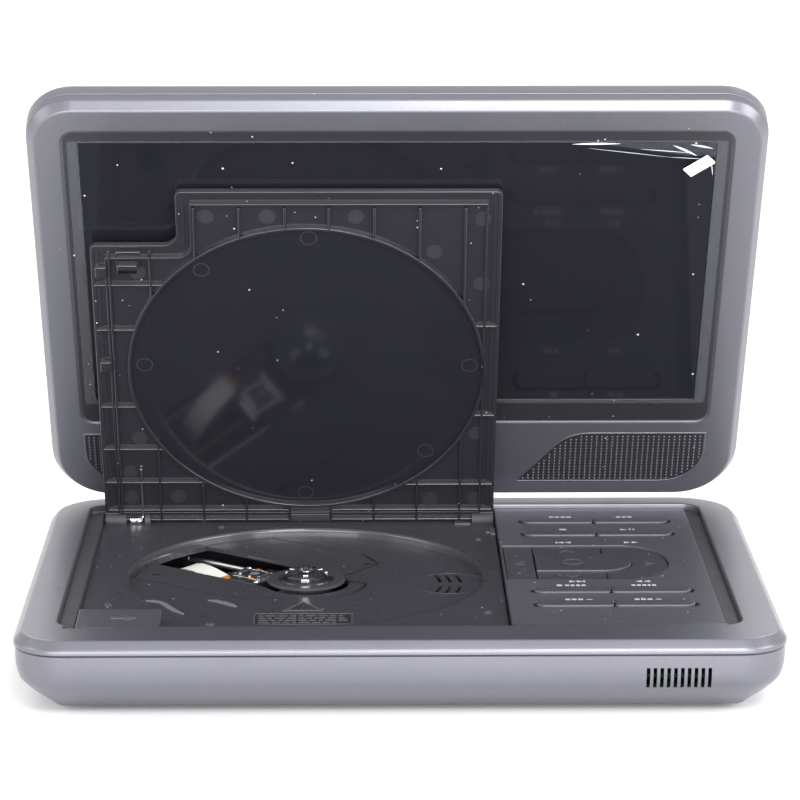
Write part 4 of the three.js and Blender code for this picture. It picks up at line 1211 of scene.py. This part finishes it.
def protective_film():
    """The film's clear rim, the painted highlights on its creases, its lifted corner, and its white pull tab.
    """
    z = LID_FACE + 0.5
    outer = rounded(-114.2, 114.2, lid_y(171.6), lid_y(46.4), 1.5)
    inner = rounded(-110.3, 110.3, lid_y(170.8), lid_y(47.9), 0.6)
    border = plate([outer, inner], z - 0.05, z + 0.02)
    on_lid("film_border", border, "film_edge", slot="screen")
    crease_glints = [plate([sliver(start, end, half)], z - 0.5, z - 0.42) for start, end, half in FILM_CREASE_GLINTS]
    on_lid("film_creases", joined(crease_glints), "glint", slot="screen")
    corner = [(68, 171), (86, 167.6), (100, 165.4), (110, 164.6), (110, 171)]
    lifted = plate([[(u, lid_y(v)) for u, v in corner]], z - 0.4, z - 0.36)
    on_lid("film_corner", lifted, "film", slot="screen")
    tab = plate([rounded(-5.2, 5.2, -2.6, 2.6, 0.4)], 0, 0.15, 0.05)
    at = Matrix.Translation((104.5, lid_y(161.5), z - 1.6)) @ Matrix.Rotation(radians(-38), 4, "Z")
    tab.transform(at @ Matrix.Rotation(radians(8), 4, "X"))
    on_lid("film_tab", tab, "paper", slot="screen")


def lid():
    lid_frame()
    protective_film()
    lid_shell()
    glass = softened("screen_glass", "screen", "lid", 0.1)
    glass.name = "screen_face"
    for side, word in ((-1, "left"), (1, "right")):
        border, face, pips = grille(side)
        on_lid(f"grille_{word}_field", face, "surround")
        on_lid(f"grille_{word}_border", border, "casing")
        # The dots are in a lighter plastic than the field: a painted highlight.
        on_lid(f"grille_{word}_pips", pips, "trim")


# ---- hinge and inner pieces
def inner_pieces():
    softened("hinge_bracket", "casing", "swivel", 0.3)
    for name, look in (
        ("hinge_washer", "metal"), ("hinge_shaft", "metal"), ("door_pin_left", "black"),
        ("door_pin_right", "black"), ("key_mat", "rubber"), ("key_board", "board"), ("main_board", "board"),
        ("screen_board", "board"), ("screen_panel", "metal"), ("battery_pack", "black"),
        ("speaker_left", "black"), ("speaker_right", "black"),
    ):
        frame["nodes"][name].data.materials[0] = LOOK[look]


base_casings()
deck()
loader()
keys()
door()
lid()
inner_pieces()


# ---- setting
def floor():
    low = cad_box[0].z
    mesh = bpy.data.meshes.new("floor")
    size = 6.0
    mesh.from_pydata([(-size, -size, low), (size, -size, low), (size, size, low), (-size, size, low)], [],
                     [(0, 1, 2, 3)])
    principled("floor", (0.9, 0.9, 0.9), 0.6)
    mesh.materials.append(LOOK["floor"])
    ground = placed("floor", mesh)


def area_light(name, at, towards, size, power):
    data = bpy.data.lights.new(name, "AREA")
    data.shape = "RECTANGLE"
    data.size, data.size_y = size
    data.energy = power
    light = placed(name, data)
    facing = (Vector(towards) - Vector(at)).to_track_quat("-Z", "Y")
    light.matrix_world = Matrix.Translation(at) @ facing.to_matrix().to_4x4()


def lights():
    world = bpy.data.worlds.new("studio")
    bpy.context.scene.world = world
    world.use_nodes = True
    world.node_tree.nodes["Background"].inputs["Color"].default_value = (1, 1, 1, 1)
    world.node_tree.nodes["Background"].inputs["Strength"].default_value = 1.12
    middle = (0, 0, 0.08)
    area_light("high", (0.3, -1.2, 1.1), middle, (0.6, 0.5), 14)
    area_light("front", (0, -1.7, 0.3), (0, 0, 0.06), (2.4, 0.5), 34)
    area_light("left", (-1.2, -0.3, 0.5), middle, (0.7, 0.7), 3)
    area_light("right", (1.2, -0.5, 0.6), middle, (0.7, 0.7), 9)
    area_light("behind", (0.1, 1.2, 1.0), middle, (1.4, 0.5), 8)


floor()
lights()
bpy.context.scene.view_settings.view_transform = "Standard"
